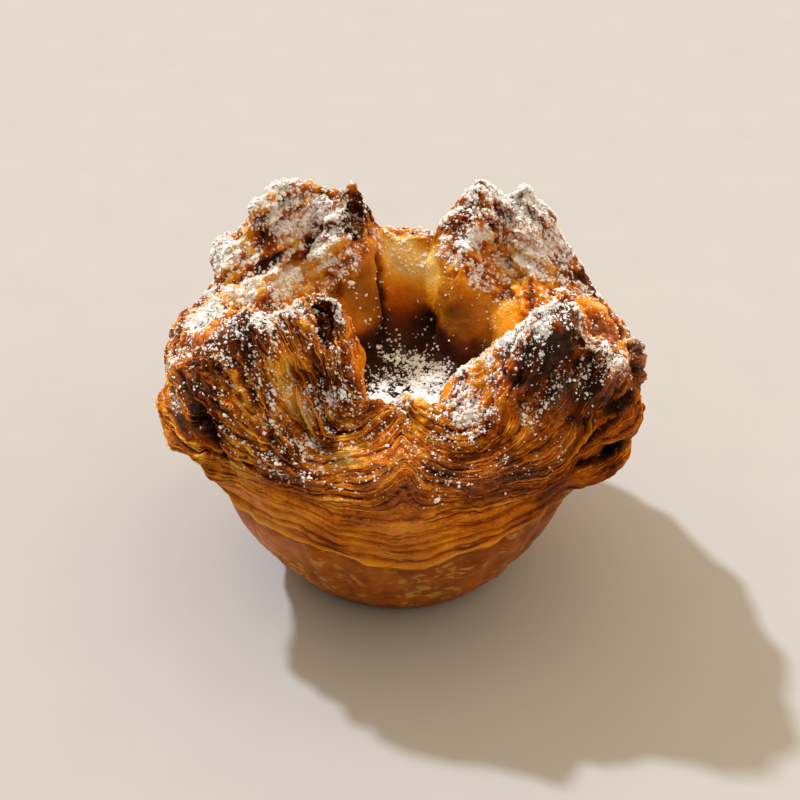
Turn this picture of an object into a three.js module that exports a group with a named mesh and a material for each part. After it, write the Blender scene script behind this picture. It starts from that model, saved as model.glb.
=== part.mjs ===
// A kouign amann baked in a deep round tin: a square of laminated dough whose
// four corners are folded in over the middle. The corners open while baking
// and stand up as four tall lobes round a deep central well, with four lower
// saddles between them. Millimetres, +Z up, origin at the middle of the flat
// underside.
import * as THREE from 'three';

// ---- driving sizes ---------------------------------------------------------
const COLUMNS = 98;        // facets round the pastry
const WELL_FLOOR_Z = 36;   // height of the floor of the well
const FOOT = [22.3, 0];    // radius and height where the flat underside ends
const HEEL = [25.8, 3.6];  // rounded edge above the underside
const WALL = [32.3, 16];   // half way up the wall the tin has formed
const RIM = [36.8, 28.5];  // level of the tin's rim

// Stations up the outside, over the crest and down into the well, each with
// its place along the profile (0 = middle of the underside, 1 = middle of the
// floor of the well).
const STATIONS = [
  ['middle', 0], ['foot', 0.06], ['heel', 0.10], ['wall', 0.20], ['rim', 0.30],
  ['lip', 0.40], ['shoulder', 0.52], ['brow', 0.64], ['crest', 0.74],
  ['throat', 0.81], ['shaft', 0.88], ['edge', 0.94], ['floor', 1.0],
];
// Bands of the profile and how many facets each has.
const ROWS = [[0.06, 0.30, 6], [0.30, 0.78, 32], [0.78, 1.0, 9]];

// The four low saddles: direction in degrees, then [radius, height] a station.
const SADDLES = [
  { name: 'right', at: 0, lip: [41, 37], shoulder: [44, 46], brow: [37, 52], crest: [27, 53], throat: [21, 49], shaft: [17, 42], edge: [13.5, 37] },
  { name: 'back', at: 91, lip: [37.6, 37], shoulder: [37.5, 46], brow: [32, 53.2], crest: [26, 56.3], throat: [21.5, 50], shaft: [17.5, 41], edge: [13.5, 37] },
  { name: 'left', at: 178, lip: [40, 38], shoulder: [43.5, 47], brow: [36, 53.5], crest: [27, 54], throat: [21, 49], shaft: [17, 41], edge: [13.5, 37] },
  { name: 'front', at: 270, lip: [38, 37], shoulder: [36.8, 45], brow: [31, 49.5], crest: [25, 53], throat: [21, 48], shaft: [17.5, 41], edge: [13.5, 37] },
];

// The four tall lobes: direction in degrees, then for each station
// [radius, height, turn of the fold from the lobe's direction, half width],
// the last two in degrees.
const LOBE_FLAT = 0.15; // share of the half width that keeps the full height
const LOBES = [
  { name: 'front left', at: 222, lip: [42, 37, -16, 26], shoulder: [42.5, 52, -13, 28], brow: [32, 66, 0, 26], crest: [20.5, 68.5, 12, 24], throat: [14.5, 58, 12, 26], shaft: [12.2, 46, 6, 32], edge: [10.5, 38, 0, 36] },
  { name: 'front right', at: 320, lip: [45, 37, 22, 30], shoulder: [42, 57, 13, 30], brow: [31.5, 70, 0, 28], crest: [22, 56.5, -14, 24], throat: [16, 49, -10, 26], shaft: [12.2, 43, -4, 32], edge: [10.5, 38, 0, 36] },
  { name: 'back right', at: 46, lip: [42, 38, -5, 30], shoulder: [37.6, 54.5, -10, 30], brow: [31, 69, 0, 28], crest: [24, 66, 12, 22], throat: [17, 56, 8, 26], shaft: [13, 45, 0, 32], edge: [11, 38, 0, 36] },
  { name: 'back left', at: 135, lip: [42, 38, 8, 30], shoulder: [40, 56, 14, 28], brow: [31, 69, 3, 28], crest: [23, 68, -16, 22], throat: [16.5, 57, -15, 30], shaft: [12.6, 46, -12, 34], edge: [11, 38, -6, 36] },
];

// Local folds, hollows and flaps of the dough. Each runs from one place to
// another with a soft radius at either end, and moves the dough by a push.
const FOLDS = [
  { name: 'front left groove, top', from: [-18.5, -22.5, 66.5], to: [-17.7, -27.3, 58], radius: [3.2, 3.2], push: [0.6, 2, -1.4] },
  { name: 'front left groove, middle', from: [-17.7, -27.3, 58], to: [-16.9, -30.1, 51], radius: [2.6, 2.6], push: [0.5, 1.8, -0.4] },
  { name: 'front left crease', from: [-16.9, -30.1, 51], to: [-10, -35, 46], radius: [3, 2.8], push: [0.2, 2.2, -1.8] },
  { name: 'front left petal', from: [-10.5, -23, 61], to: [-8.2, -26.5, 53], radius: [3.6, 3.6], push: [0.3, -1.6, 0.5] },
  { name: 'front left curl', from: [-11.8, -19.5, 69], to: [-11.6, -22.4, 64], radius: [4.4, 4.4], push: [0, -1.4, 0.6] },
  { name: 'hollow in the front left curl', from: [-11.9, -20, 67.5], to: [-11.6, -22.2, 64.2], radius: [2, 1.5], push: [0.3, 6, -3.6] },
  { name: 'front left corner', from: [-25, -21, 66], to: [-33, -22, 60], radius: [3.5, 3.5], push: [-0.3, -0.8, 1] },
  { name: 'left flap', from: [-42.3, -9, 42.5], to: [-38, -18, 38.5], radius: [3.9, 2.8], push: [-3.4, -1.2, -0.2] },
  { name: 'gap above the left flap', from: [-39.5, -17, 48.5], to: [-33, -27, 41], radius: [2, 2], push: [2.6, 2.4, 0.2] },
  { name: 'left of the wall', from: [-27, -19, 17], to: [-25, -20, 12], radius: [13, 13], push: [-1.4, -0.5, 0] },
  { name: 'front peak', from: [0, -36, 46.5], to: [0, -33, 48.5], radius: [4, 4], push: [0, -1.2, 2.6] },
  { name: 'front right crease', from: [7, -36, 45.5], to: [15, -32.5, 49.5], radius: [2.8, 2.8], push: [-0.2, 1.5, -1.4] },
  { name: 'front rim tip', from: [1.2, -25, 53.5], to: [1.2, -25.5, 53.5], radius: [2.2, 2.2], push: [0, -0.3, 1.6] },
  { name: 'front right hollow', from: [20, -30, 55.5], to: [28, -26.6, 61], radius: [2.2, 2.2], push: [-0.9, 3, -1.2] },
  { name: 'front right ridge', from: [15, -25, 62], to: [26, -22.5, 69], radius: [3.6, 3.6], push: [0.4, -1.8, 0.4] },
  { name: 'dip behind the front right ridge', from: [32, -19, 65], to: [32, -13, 63], radius: [3.8, 3.8], push: [0, 0, -4.6] },
  { name: 'front right second bump', from: [34.5, -23, 60.5], to: [35.5, -22, 59.5], radius: [4, 4], push: [0.8, -1.2, 1.6] },
  { name: 'groove beside the second bump', from: [30, -23.5, 63.5], to: [30, -26, 59], radius: [1.8, 1.8], push: [-0.6, 2, -1] },
  { name: 'hole at the right end', from: [41.2, -14.5, 53], to: [42.3, -14.5, 48], radius: [1.9, 1.9], push: [-3.6, 1.2, 0] },
  { name: 'upper slot of the right flaps', from: [31, -29, 50.5], to: [40, -21, 50.5], radius: [1.7, 1.6], push: [-2.2, 1.8, 0.6] },
  { name: 'lower slot of the right flaps', from: [31, -29, 42], to: [40, -22, 42], radius: [1.7, 1.6], push: [-2.4, 1.9, 0.6] },
  { name: 'upper right flap', from: [36, -26, 46.5], to: [42.5, -17, 46], radius: [3, 3], push: [1.6, -1, 0] },
  { name: 'lower right flap', from: [32, -26, 35], to: [41, -19, 37], radius: [3, 3], push: [1, -0.8, -0.2] },
  { name: 'under the lower right flap', from: [30.5, -27, 31.5], to: [37.5, -23.5, 32.5], radius: [3.6, 3], push: [-1.8, 1.4, 2.4] },
  { name: 'end of the lower right flap', from: [43, -19, 36.5], to: [44, -12, 37], radius: [2.8, 2.8], push: [-2, 0.8, 0.8] },
  { name: 'right corner', from: [44, -8, 46], to: [43, -9, 53], radius: [4, 4], push: [0.8, 0, 0] },
  { name: 'back left nub', from: [-34.5, 17, 57.5], to: [-33.5, 19, 57], radius: [3.2, 3.2], push: [-0.8, 0.2, 0.8] },
  { name: 'step above the nub', from: [-30, 20, 65], to: [-29, 14, 62], radius: [3.2, 3.2], push: [1.6, 0, -3.4] },
  { name: 'back left notch', from: [-12, 19, 69.5], to: [-12.5, 16, 66], radius: [1.9, 1.9], push: [0, 0.4, -2.6] },
  { name: 'back left hole', from: [-9, 18, 66.5], to: [-9.3, 17, 63], radius: [2, 2], push: [0.2, 3.8, -2.2] },
  { name: 'back left inner tip', from: [-8.4, 20, 69.5], to: [-8.4, 21, 68.5], radius: [2.6, 2.6], push: [0.6, 0, 1.8] },
  { name: 'back left outer tip', from: [-22, 20, 70], to: [-18, 20, 70], radius: [3.6, 3.6], push: [0, 0, 1] },
  { name: 'back right inner tip', from: [14.8, 20.5, 69], to: [15, 22, 69], radius: [2.2, 2.2], push: [-0.4, 0, 2.6] },
  { name: 'back right dip', from: [20.2, 18, 69], to: [20.6, 23, 69], radius: [2.4, 2.4], push: [0, 0, -2.8] },
  { name: 'back right outer tip', from: [25, 20, 69], to: [25.5, 21, 68.5], radius: [2.8, 2.8], push: [0.2, 0, 1] },
  { name: 'back right shoulder', from: [34, 16, 55], to: [28, 19, 63], radius: [4, 4], push: [1.4, 0.2, 0.3] },
  { name: 'dip behind the back right crest', from: [22.5, 24.5, 68.5], to: [18.5, 26, 69], radius: [2.8, 2.8], push: [0, -0.8, -2.2] },
  { name: 'back right inner peak', from: [14.4, 22.4, 68.5], to: [14.2, 22.8, 67.5], radius: [1.8, 1.8], push: [-0.4, 0, 1.2] },
  { name: 'inner edge of the back right lobe', from: [9.6, 22.5, 66], to: [9.4, 22.5, 64], radius: [2.2, 2.2], push: [1.6, 0, -1.8] },
  { name: 'inner edge of the back left lobe', from: [-7, 23, 62], to: [-4.8, 25, 57], radius: [2.6, 3], push: [1.6, 0, 1] },
  { name: 'back left crest', from: [-18.3, 22, 69], to: [-15, 22, 69], radius: [3, 3], push: [0, 0, 0.9] },
  { name: 'outer end of the back left crest', from: [-26.6, 19.5, 68.8], to: [-26.6, 19.5, 67.5], radius: [2.4, 2.4], push: [0.8, 0, -1] },
  { name: 'step in the back left edge', from: [-28.6, 22.5, 63], to: [-32, 20.4, 61], radius: [3.2, 2.6], push: [2, -0.8, -3.2] },
  { name: 'hollow below the nub', from: [-38.5, 13.3, 54.4], to: [-41, 10, 51.5], radius: [3.6, 3.2], push: [2.8, -1.4, -0.8] },
  { name: 'left edge', from: [-44.3, -9, 43.6], to: [-44.3, -10.5, 43.6], radius: [2.6, 2.6], push: [2, 0, 0] },
  { name: 'under the left flap', from: [-42, -19, 36.5], to: [-37, -22, 35], radius: [3, 3], push: [1.9, 1.2, 0.8] },
  { name: 'far right flap', from: [33, 25, 43.5], to: [40, 16, 44.5], radius: [3.2, 3.2], push: [0.9, 0.8, -0.2] },
  { name: 'gap above the far right flap', from: [29.5, 29.5, 51], to: [39.5, 18, 49.5], radius: [2, 2], push: [-2, -1.8, 0.3] },
  { name: 'gap below the far right flap', from: [31, 27.5, 38], to: [40, 17, 39], radius: [1.8, 1.8], push: [-1.6, -1.4, 0.4] },
  { name: 'far left flap', from: [-33, 26, 43], to: [-40.5, 15.5, 44], radius: [3.2, 3.2], push: [-0.9, 0.8, -0.2] },
  { name: 'gap above the far left flap', from: [-28.5, 30.5, 50], to: [-39.5, 17.5, 49], radius: [2, 2], push: [2, -1.8, 0.3] },
  { name: 'gap below the far left flap', from: [-30, 28.5, 37.5], to: [-39, 17.5, 38.5], radius: [1.8, 1.8], push: [1.6, -1.4, 0.4] },
  { name: 'far peak', from: [1, 36, 46], to: [1, 33.5, 48.5], radius: [4, 4], push: [0, 0.4, 2.2] },
  { name: 'far crease, left', from: [-6, 36.5, 46], to: [-15, 33, 50], radius: [2.8, 2.8], push: [0.2, -1.5, -1.2] },
  { name: 'far crease, right', from: [8, 36.5, 46], to: [16, 33.5, 50.5], radius: [2.8, 2.8], push: [-0.2, -1.5, -1.2] },
  { name: 'groove down the back right lobe', from: [22, 28, 64], to: [23.5, 32, 54], radius: [2.6, 2.6], push: [-0.4, -1.7, -0.4] },
  { name: 'groove down the back left lobe', from: [-20, 28, 64], to: [-22, 32, 54], radius: [2.6, 2.6], push: [0.4, -1.7, -0.4] },
];

// ---- the profile in any direction -------------------------------------------
const RAD = Math.PI / 180;
const FIXED = { foot: FOOT, heel: HEEL, wall: WALL, rim: RIM };

function turnBetween(a, b) {
  return ((((a - b + 180) % 360) + 360) % 360) - 180;
}

// 1 over the middle of a lobe, easing to 0 at its edge
function lobeShare(x) {
  const a = Math.min(1, Math.max(0, (Math.abs(x) - LOBE_FLAT) / (1 - LOBE_FLAT)));
  return 1 - a * a * a * (a * (a * 6 - 15) + 10);
}

function saddleSize(theta, station) {
  for (let i = 0; i < SADDLES.length; i++) {
    const here = SADDLES[i];
    const next = SADDLES[(i + 1) % SADDLES.length];
    const span = (next.at - here.at + 360) % 360;
    const into = (((theta - here.at) % 360) + 360) % 360;
    if (into < span) {
      const f = into / span;
      const s = f * f * (3 - 2 * f);
      return [0, 1].map((k) => here[station][k] * (1 - s) + next[station][k] * s);
    }
  }
  return SADDLES[0][station];
}

function stationSize(theta, station) {
  if (station === 'middle') return [0, 0];
  if (station === 'floor') return [0, WELL_FLOOR_Z];
  if (FIXED[station]) return FIXED[station];
  const low = saddleSize(theta, station);
  let total = 0;
  const sum = [0, 0];
  for (const lobe of LOBES) {
    const [radius, height, turn, half] = lobe[station];
    const w = lobeShare(turnBetween(theta, lobe.at + turn) / half);
    total += w;
    sum[0] += w * radius;
    sum[1] += w * height;
  }
  const keep = 1 - Math.min(1, total);
  const scale = 1 / Math.max(1, total);
  return [0, 1].map((k) => low[k] * keep + sum[k] * scale);
}

// Smooth curve through the stations: half way between a plain and an
// overshoot-free cubic.
function slopes(values) {
  const n = values.length;
  const h = [];
  const d = [];
  for (let k = 0; k < n - 1; k++) {
    h.push(STATIONS[k + 1][1] - STATIONS[k][1]);
    d.push((values[k + 1] - values[k]) / h[k]);
  }
  const m = [d[0]];
  for (let k = 1; k < n - 1; k++) {
    const a = d[k - 1];
    const b = d[k];
    const w1 = 2 * h[k] + h[k - 1];
    const w2 = h[k] + 2 * h[k - 1];
    const held = a * b > 0 ? (w1 + w2) / (w1 / a + w2 / b) : 0;
    const plain = (a * h[k] + b * h[k - 1]) / (h[k] + h[k - 1]);
    m.push(0.5 * held + 0.5 * plain);
  }
  m.push(d[n - 2]);
  return m;
}

function curveAt(values, m, v) {
  let k = 0;
  while (k < values.length - 2 && v >= STATIONS[k + 1][1]) k++;
  const h = STATIONS[k + 1][1] - STATIONS[k][1];
  const t = (v - STATIONS[k][1]) / h;
  const t2 = t * t;
  const t3 = t2 * t;
  return (2 * t3 - 3 * t2 + 1) * values[k] + (t3 - 2 * t2 + t) * h * m[k]
    + (-2 * t3 + 3 * t2) * values[k + 1] + (t3 - t2) * h * m[k + 1];
}

// ---- local folds --------------------------------------------------------------
function foldAway(p) {
  const out = p.clone();
  const a = new THREE.Vector3();
  const ab = new THREE.Vector3();
  const near = new THREE.Vector3();
  for (const fold of FOLDS) {
    a.fromArray(fold.from);
    ab.fromArray(fold.to).sub(a);
    const t = Math.min(1, Math.max(0, near.copy(p).sub(a).dot(ab) / ab.lengthSq()));
    near.copy(a).addScaledVector(ab, t);
    const reach = fold.radius[0] + (fold.radius[1] - fold.radius[0]) * t;
    const far = p.distanceTo(near) / reach;
    const w = Math.exp(-far * far * 1.4);
    out.x += w * fold.push[0];
    out.y += w * fold.push[1];
    out.z += w * fold.push[2];
  }
  return out;
}

// ---- the closed surface ---------------------------------------------------------
const stops = [];
for (const [v0, v1, count] of ROWS) {
  for (let i = 0; i < count; i++) stops.push(v0 + ((v1 - v0) * i) / count);
}
const rows = stops.length;

const points = [];
for (let c = 0; c < COLUMNS; c++) {
  const theta = (360 * c) / COLUMNS;
  const sizes = STATIONS.map(([name]) => stationSize(theta, name));
  const radii = sizes.map((s) => s[0]);
  const heights = sizes.map((s) => s[1]);
  const mr = slopes(radii);
  const mz = slopes(heights);
  for (const v of stops) {
    const r = curveAt(radii, mr, v);
    const z = v <= STATIONS[1][1] ? 0 : curveAt(heights, mz, v);
    const p = new THREE.Vector3(r * Math.cos(theta * RAD), r * Math.sin(theta * RAD), z);
    points.push(v <= STATIONS[1][1] ? p : foldAway(p));
  }
}
const underMiddle = points.length;
points.push(new THREE.Vector3(0, 0, 0));
const floorMiddle = points.length;
points.push(new THREE.Vector3(0, 0, WELL_FLOOR_Z));

const index = [];
for (let c = 0; c < COLUMNS; c++) {
  const d = (c + 1) % COLUMNS;
  index.push(d * rows, c * rows, underMiddle);
  index.push(c * rows + rows - 1, d * rows + rows - 1, floorMiddle);
  for (let k = 0; k < rows - 1; k++) {
    const p = c * rows + k;
    const q = d * rows + k;
    // each four-sided facet is split along its shorter diagonal
    if (points[p].distanceTo(points[q + 1]) <= points[q].distanceTo(points[p + 1])) {
      index.push(p, q, q + 1, p, q + 1, p + 1);
    } else {
      index.push(p, q, p + 1, q, q + 1, p + 1);
    }
  }
}

const geometry = new THREE.BufferGeometry();
geometry.setAttribute('position', new THREE.Float32BufferAttribute(points.flatMap((p) => p.toArray()), 3));
geometry.setIndex(index);
geometry.computeVertexNormals();

const crust = new THREE.MeshStandardMaterial({ color: 0xb0661f, roughness: 0.6, metalness: 0 });
const pastry = new THREE.Mesh(geometry, crust);
pastry.name = 'pastry';

const group = new THREE.Group();
group.name = 'kouign_amann';
group.add(pastry);
export default group;
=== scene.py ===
import math

import bpy
import numpy as np
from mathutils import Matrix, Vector


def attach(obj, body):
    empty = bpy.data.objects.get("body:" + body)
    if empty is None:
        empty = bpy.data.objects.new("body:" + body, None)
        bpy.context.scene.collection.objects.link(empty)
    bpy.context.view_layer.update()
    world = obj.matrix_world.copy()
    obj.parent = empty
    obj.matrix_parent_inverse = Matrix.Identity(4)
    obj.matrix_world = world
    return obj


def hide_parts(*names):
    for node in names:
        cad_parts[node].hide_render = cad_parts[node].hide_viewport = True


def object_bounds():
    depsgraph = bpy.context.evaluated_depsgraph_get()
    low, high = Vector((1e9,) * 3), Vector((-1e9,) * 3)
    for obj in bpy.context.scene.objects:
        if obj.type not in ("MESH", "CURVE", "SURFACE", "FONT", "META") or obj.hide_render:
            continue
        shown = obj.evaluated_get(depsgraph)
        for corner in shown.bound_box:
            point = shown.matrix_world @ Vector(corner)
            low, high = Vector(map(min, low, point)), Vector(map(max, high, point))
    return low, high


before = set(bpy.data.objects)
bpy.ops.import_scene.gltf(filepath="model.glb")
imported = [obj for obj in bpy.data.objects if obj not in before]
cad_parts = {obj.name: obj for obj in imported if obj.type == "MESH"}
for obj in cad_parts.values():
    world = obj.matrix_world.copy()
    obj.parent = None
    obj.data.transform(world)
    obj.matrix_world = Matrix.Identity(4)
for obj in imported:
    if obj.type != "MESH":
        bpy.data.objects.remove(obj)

CAD_BOX = [list(c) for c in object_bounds()]
MM = 0.001

# ---------------------------------------------------------------------------
# Sizes of the pastry, in millimetres (the same ones the solid is built from)
# ---------------------------------------------------------------------------
WELL_FLOOR_Z = 36.0
STATION_NAMES = ["middle", "foot", "heel", "wall", "rim", "lip", "shoulder",
                 "brow", "crest", "throat", "shaft", "edge", "floor"]
STATION_V = np.array([0, .06, .10, .20, .30, .40, .52, .64, .74, .81, .88, .94, 1.0])
FIXED = dict(foot=(22.3, 0), heel=(25.8, 3.6), wall=(32.3, 16), rim=(36.8, 28.5))
SADDLES = [
    dict(at=0, lip=(41, 37), shoulder=(44, 46), brow=(37, 52), crest=(27, 53), throat=(21, 49), shaft=(17, 42), edge=(13.5, 37)),
    dict(at=91, lip=(37.6, 37), shoulder=(37.5, 46), brow=(32, 53.2), crest=(26, 56.3), throat=(21.5, 50), shaft=(17.5, 41), edge=(13.5, 37)),
    dict(at=178, lip=(40, 38), shoulder=(43.5, 47), brow=(36, 53.5), crest=(27, 54), throat=(21, 49), shaft=(17, 41), edge=(13.5, 37)),
    dict(at=270, lip=(38, 37), shoulder=(36.8, 45), brow=(31, 49.5), crest=(25, 53), throat=(21, 48), shaft=(17.5, 41), edge=(13.5, 37)),
]
LOBE_FLAT = 0.15
LOBES = [
    dict(at=222, lip=(42, 37, -16, 26), shoulder=(42.5, 52, -13, 28), brow=(32, 66, 0, 26), crest=(20.5, 68.5, 12, 24), throat=(14.5, 58, 12, 26), shaft=(12.2, 46, 6, 32), edge=(10.5, 38, 0, 36)),
    dict(at=320, lip=(45, 37, 22, 30), shoulder=(42, 57, 13, 30), brow=(31.5, 70, 0, 28), crest=(22, 56.5, -14, 24), throat=(16, 49, -10, 26), shaft=(12.2, 43, -4, 32), edge=(10.5, 38, 0, 36)),
    dict(at=46, lip=(42, 38, -5, 30), shoulder=(37.6, 54.5, -10, 30), brow=(31, 69, 0, 28), crest=(24, 66, 12, 22), throat=(17, 56, 8, 26), shaft=(13, 45, 0, 32), edge=(11, 38, 0, 36)),
    dict(at=135, lip=(42, 38, 8, 30), shoulder=(40, 56, 14, 28), brow=(31, 69, 3, 28), crest=(23, 68, -16, 22), throat=(16.5, 57, -15, 30), shaft=(12.6, 46, -12, 34), edge=(11, 38, -6, 36)),
]
# from, to, soft radius at either end, push: the same local folds as the solid
FOLDS = [
    ((-18.5, -22.5, 66.5), (-17.7, -27.3, 58), 3.2, 3.2, (0.6, 2, -1.4)),
    ((-17.7, -27.3, 58), (-16.9, -30.1, 51), 2.6, 2.6, (0.5, 1.8, -0.4)),
    ((-16.9, -30.1, 51), (-10, -35, 46), 3, 2.8, (0.2, 2.2, -1.8)),
    ((-10.5, -23, 61), (-8.2, -26.5, 53), 3.6, 3.6, (0.3, -1.6, 0.5)),
    ((-11.8, -19.5, 69), (-11.6, -22.4, 64), 4.4, 4.4, (0, -1.4, 0.6)),
    ((-11.9, -20, 67.5), (-11.6, -22.2, 64.2), 2, 1.5, (0.3, 6, -3.6)),
    ((-25, -21, 66), (-33, -22, 60), 3.5, 3.5, (-0.3, -0.8, 1)),
    ((-42.3, -9, 42.5), (-38, -18, 38.5), 3.9, 2.8, (-3.4, -1.2, -0.2)),
    ((-39.5, -17, 48.5), (-33, -27, 41), 2, 2, (2.6, 2.4, 0.2)),
    ((-27, -19, 17), (-25, -20, 12), 13, 13, (-1.4, -0.5, 0)),
    ((0, -36, 46.5), (0, -33, 48.5), 4, 4, (0, -1.2, 2.6)),
    ((7, -36, 45.5), (15, -32.5, 49.5), 2.8, 2.8, (-0.2, 1.5, -1.4)),
    ((1.2, -25, 53.5), (1.2, -25.5, 53.5), 2.2, 2.2, (0, -0.3, 1.6)),
    ((20, -30, 55.5), (28, -26.6, 61), 2.2, 2.2, (-0.9, 3, -1.2)),
    ((15, -25, 62), (26, -22.5, 69), 3.6, 3.6, (0.4, -1.8, 0.4)),
    ((32, -19, 65), (32, -13, 63), 3.8, 3.8, (0, 0, -4.6)),
    ((34.5, -23, 60.5), (35.5, -22, 59.5), 4, 4, (0.8, -1.2, 1.6)),
    ((30, -23.5, 63.5), (30, -26, 59), 1.8, 1.8, (-0.6, 2, -1)),
    ((41.2, -14.5, 53), (42.3, -14.5, 48), 1.9, 1.9, (-3.6, 1.2, 0)),
    ((31, -29, 50.5), (40, -21, 50.5), 1.7, 1.6, (-2.2, 1.8, 0.6)),
    ((31, -29, 42), (40, -22, 42), 1.7, 1.6, (-2.4, 1.9, 0.6)),
    ((36, -26, 46.5), (42.5, -17, 46), 3, 3, (1.6, -1, 0)),
    ((32, -26, 35), (41, -19, 37), 3, 3, (1, -0.8, -0.2)),
    ((30.5, -27, 31.5), (37.5, -23.5, 32.5), 3.6, 3, (-1.8, 1.4, 2.4)),
    ((43, -19, 36.5), (44, -12, 37), 2.8, 2.8, (-2, 0.8, 0.8)),
    ((44, -8, 46), (43, -9, 53), 4, 4, (0.8, 0, 0)),
    ((-34.5, 17, 57.5), (-33.5, 19, 57), 3.2, 3.2, (-0.8, 0.2, 0.8)),
    ((-30, 20, 65), (-29, 14, 62), 3.2, 3.2, (1.6, 0, -3.4)),
    ((-12, 19, 69.5), (-12.5, 16, 66), 1.9, 1.9, (0, 0.4, -2.6)),
    ((-9, 18, 66.5), (-9.3, 17, 63), 2, 2, (0.2, 3.8, -2.2)),
    ((-8.4, 20, 69.5), (-8.4, 21, 68.5), 2.6, 2.6, (0.6, 0, 1.8)),
    ((-22, 20, 70), (-18, 20, 70), 3.6, 3.6, (0, 0, 1)),
    ((14.8, 20.5, 69), (15, 22, 69), 2.2, 2.2, (-0.4, 0, 2.6)),
    ((20.2, 18, 69), (20.6, 23, 69), 2.4, 2.4, (0, 0, -2.8)),
    ((25, 20, 69), (25.5, 21, 68.5), 2.8, 2.8, (0.2, 0, 1)),
    ((34, 16, 55), (28, 19, 63), 4, 4, (1.4, 0.2, 0.3)),
    ((22.5, 24.5, 68.5), (18.5, 26, 69), 2.8, 2.8, (0, -0.8, -2.2)),
    ((14.4, 22.4, 68.5), (14.2, 22.8, 67.5), 1.8, 1.8, (-0.4, 0, 1.2)),
    ((9.6, 22.5, 66), (9.4, 22.5, 64), 2.2, 2.2, (1.6, 0, -1.8)),
    ((-7, 23, 62), (-4.8, 25, 57), 2.6, 3, (1.6, 0, 1)),
    ((-18.3, 22, 69), (-15, 22, 69), 3, 3, (0, 0, 0.9)),
    ((-26.6, 19.5, 68.8), (-26.6, 19.5, 67.5), 2.4, 2.4, (0.8, 0, -1)),
    ((-28.6, 22.5, 63), (-32, 20.4, 61), 3.2, 2.6, (2, -0.8, -3.2)),
    ((-38.5, 13.3, 54.4), (-41, 10, 51.5), 3.6, 3.2, (2.8, -1.4, -0.8)),
    ((-44.3, -9, 43.6), (-44.3, -10.5, 43.6), 2.6, 2.6, (2, 0, 0)),
    ((-42, -19, 36.5), (-37, -22, 35), 3, 3, (1.9, 1.2, 0.8)),
    ((33, 25, 43.5), (40, 16, 44.5), 3.2, 3.2, (0.9, 0.8, -0.2)),
    ((29.5, 29.5, 51), (39.5, 18, 49.5), 2, 2, (-2, -1.8, 0.3)),
    ((31, 27.5, 38), (40, 17, 39), 1.8, 1.8, (-1.6, -1.4, 0.4)),
    ((-33, 26, 43), (-40.5, 15.5, 44), 3.2, 3.2, (-0.9, 0.8, -0.2)),
    ((-28.5, 30.5, 50), (-39.5, 17.5, 49), 2, 2, (2, -1.8, 0.3)),
    ((-30, 28.5, 37.5), (-39, 17.5, 38.5), 1.8, 1.8, (1.6, -1.4, 0.4)),
    ((1, 36, 46), (1, 33.5, 48.5), 4, 4, (0, 0.4, 2.2)),
    ((-6, 36.5, 46), (-15, 33, 50), 2.8, 2.8, (0.2, -1.5, -1.2)),
    ((8, 36.5, 46), (16, 33.5, 50.5), 2.8, 2.8, (-0.2, -1.5, -1.2)),
    ((22, 28, 64), (23.5, 32, 54), 2.6, 2.6, (-0.4, -1.7, -0.4)),
    ((-20, 28, 64), (-22, 32, 54), 2.6, 2.6, (0.4, -1.7, -0.4)),
]


# ---------------------------------------------------------------------------
# Noise (seeded, the same every run)
# ---------------------------------------------------------------------------
def hashed(i, j, k, seed):
    n = (i.astype(np.int64) * 374761393 + j.astype(np.int64) * 668265263
         + k.astype(np.int64) * 1440670441 + seed * 974634777) & 0xffffffff
    n = ((n ^ (n >> 13)) * 1274126177) & 0xffffffff
    n = ((n ^ (n >> 16)) * 2246822519) & 0xffffffff
    n = n ^ (n >> 15)
    return (n & 0xffffff) / float(0xffffff)


def noise(p, seed=0):
    """Smooth noise from 0 to 1 at points p[..., 3]."""
    q = np.floor(p)
    f = p - q
    f = f * f * f * (f * (f * 6 - 15) + 10)
    q = q.astype(np.int64)
    out = 0.0
    for dx in (0, 1):
        wx = f[..., 0] if dx else 1 - f[..., 0]
        for dy in (0, 1):
            wy = f[..., 1] if dy else 1 - f[..., 1]
            for dz in (0, 1):
                wz = f[..., 2] if dz else 1 - f[..., 2]
                out = out + wx * wy * wz * hashed(q[..., 0] + dx, q[..., 1] + dy, q[..., 2] + dz, seed)
    return out


def fbm(p, octaves=3, seed=0, gain=0.5):
    total, amp, norm = 0.0, 1.0, 0.0
    for o in range(octaves):
        total = total + amp * noise(p * (2.0 ** o) + 17.3 * o, seed + 31 * o)
        norm += amp
        amp *= gain
    return total / norm


def ease(a, b, x):
    t = np.clip((x - a) / (b - a), 0, 1)
    return t * t * (3 - 2 * t)


# ---------------------------------------------------------------------------
# The surface of the pastry
# ---------------------------------------------------------------------------
def lobe_share(x):
    a = np.clip((np.abs(x) - LOBE_FLAT) / (1 - LOBE_FLAT), 0, 1)
    return 1 - a * a * a * (a * (a * 6 - 15) + 10)


def wrap(a):
    return (a + 180) % 360 - 180


def saddle_size(th, station):
    out = np.zeros((len(th), 2))
    for i, here in enumerate(SADDLES):
        nxt = SADDLES[(i + 1) % len(SADDLES)]
        span = (nxt["at"] - here["at"]) % 360
        into = (th - here["at"]) % 360
        f = into / span
        s = (f * f * (3 - 2 * f))[:, None]
        val = np.array(here[station], float) * (1 - s) + np.array(nxt[station], float) * s
        out = np.where((into < span)[:, None], val, out)
    return out


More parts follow.
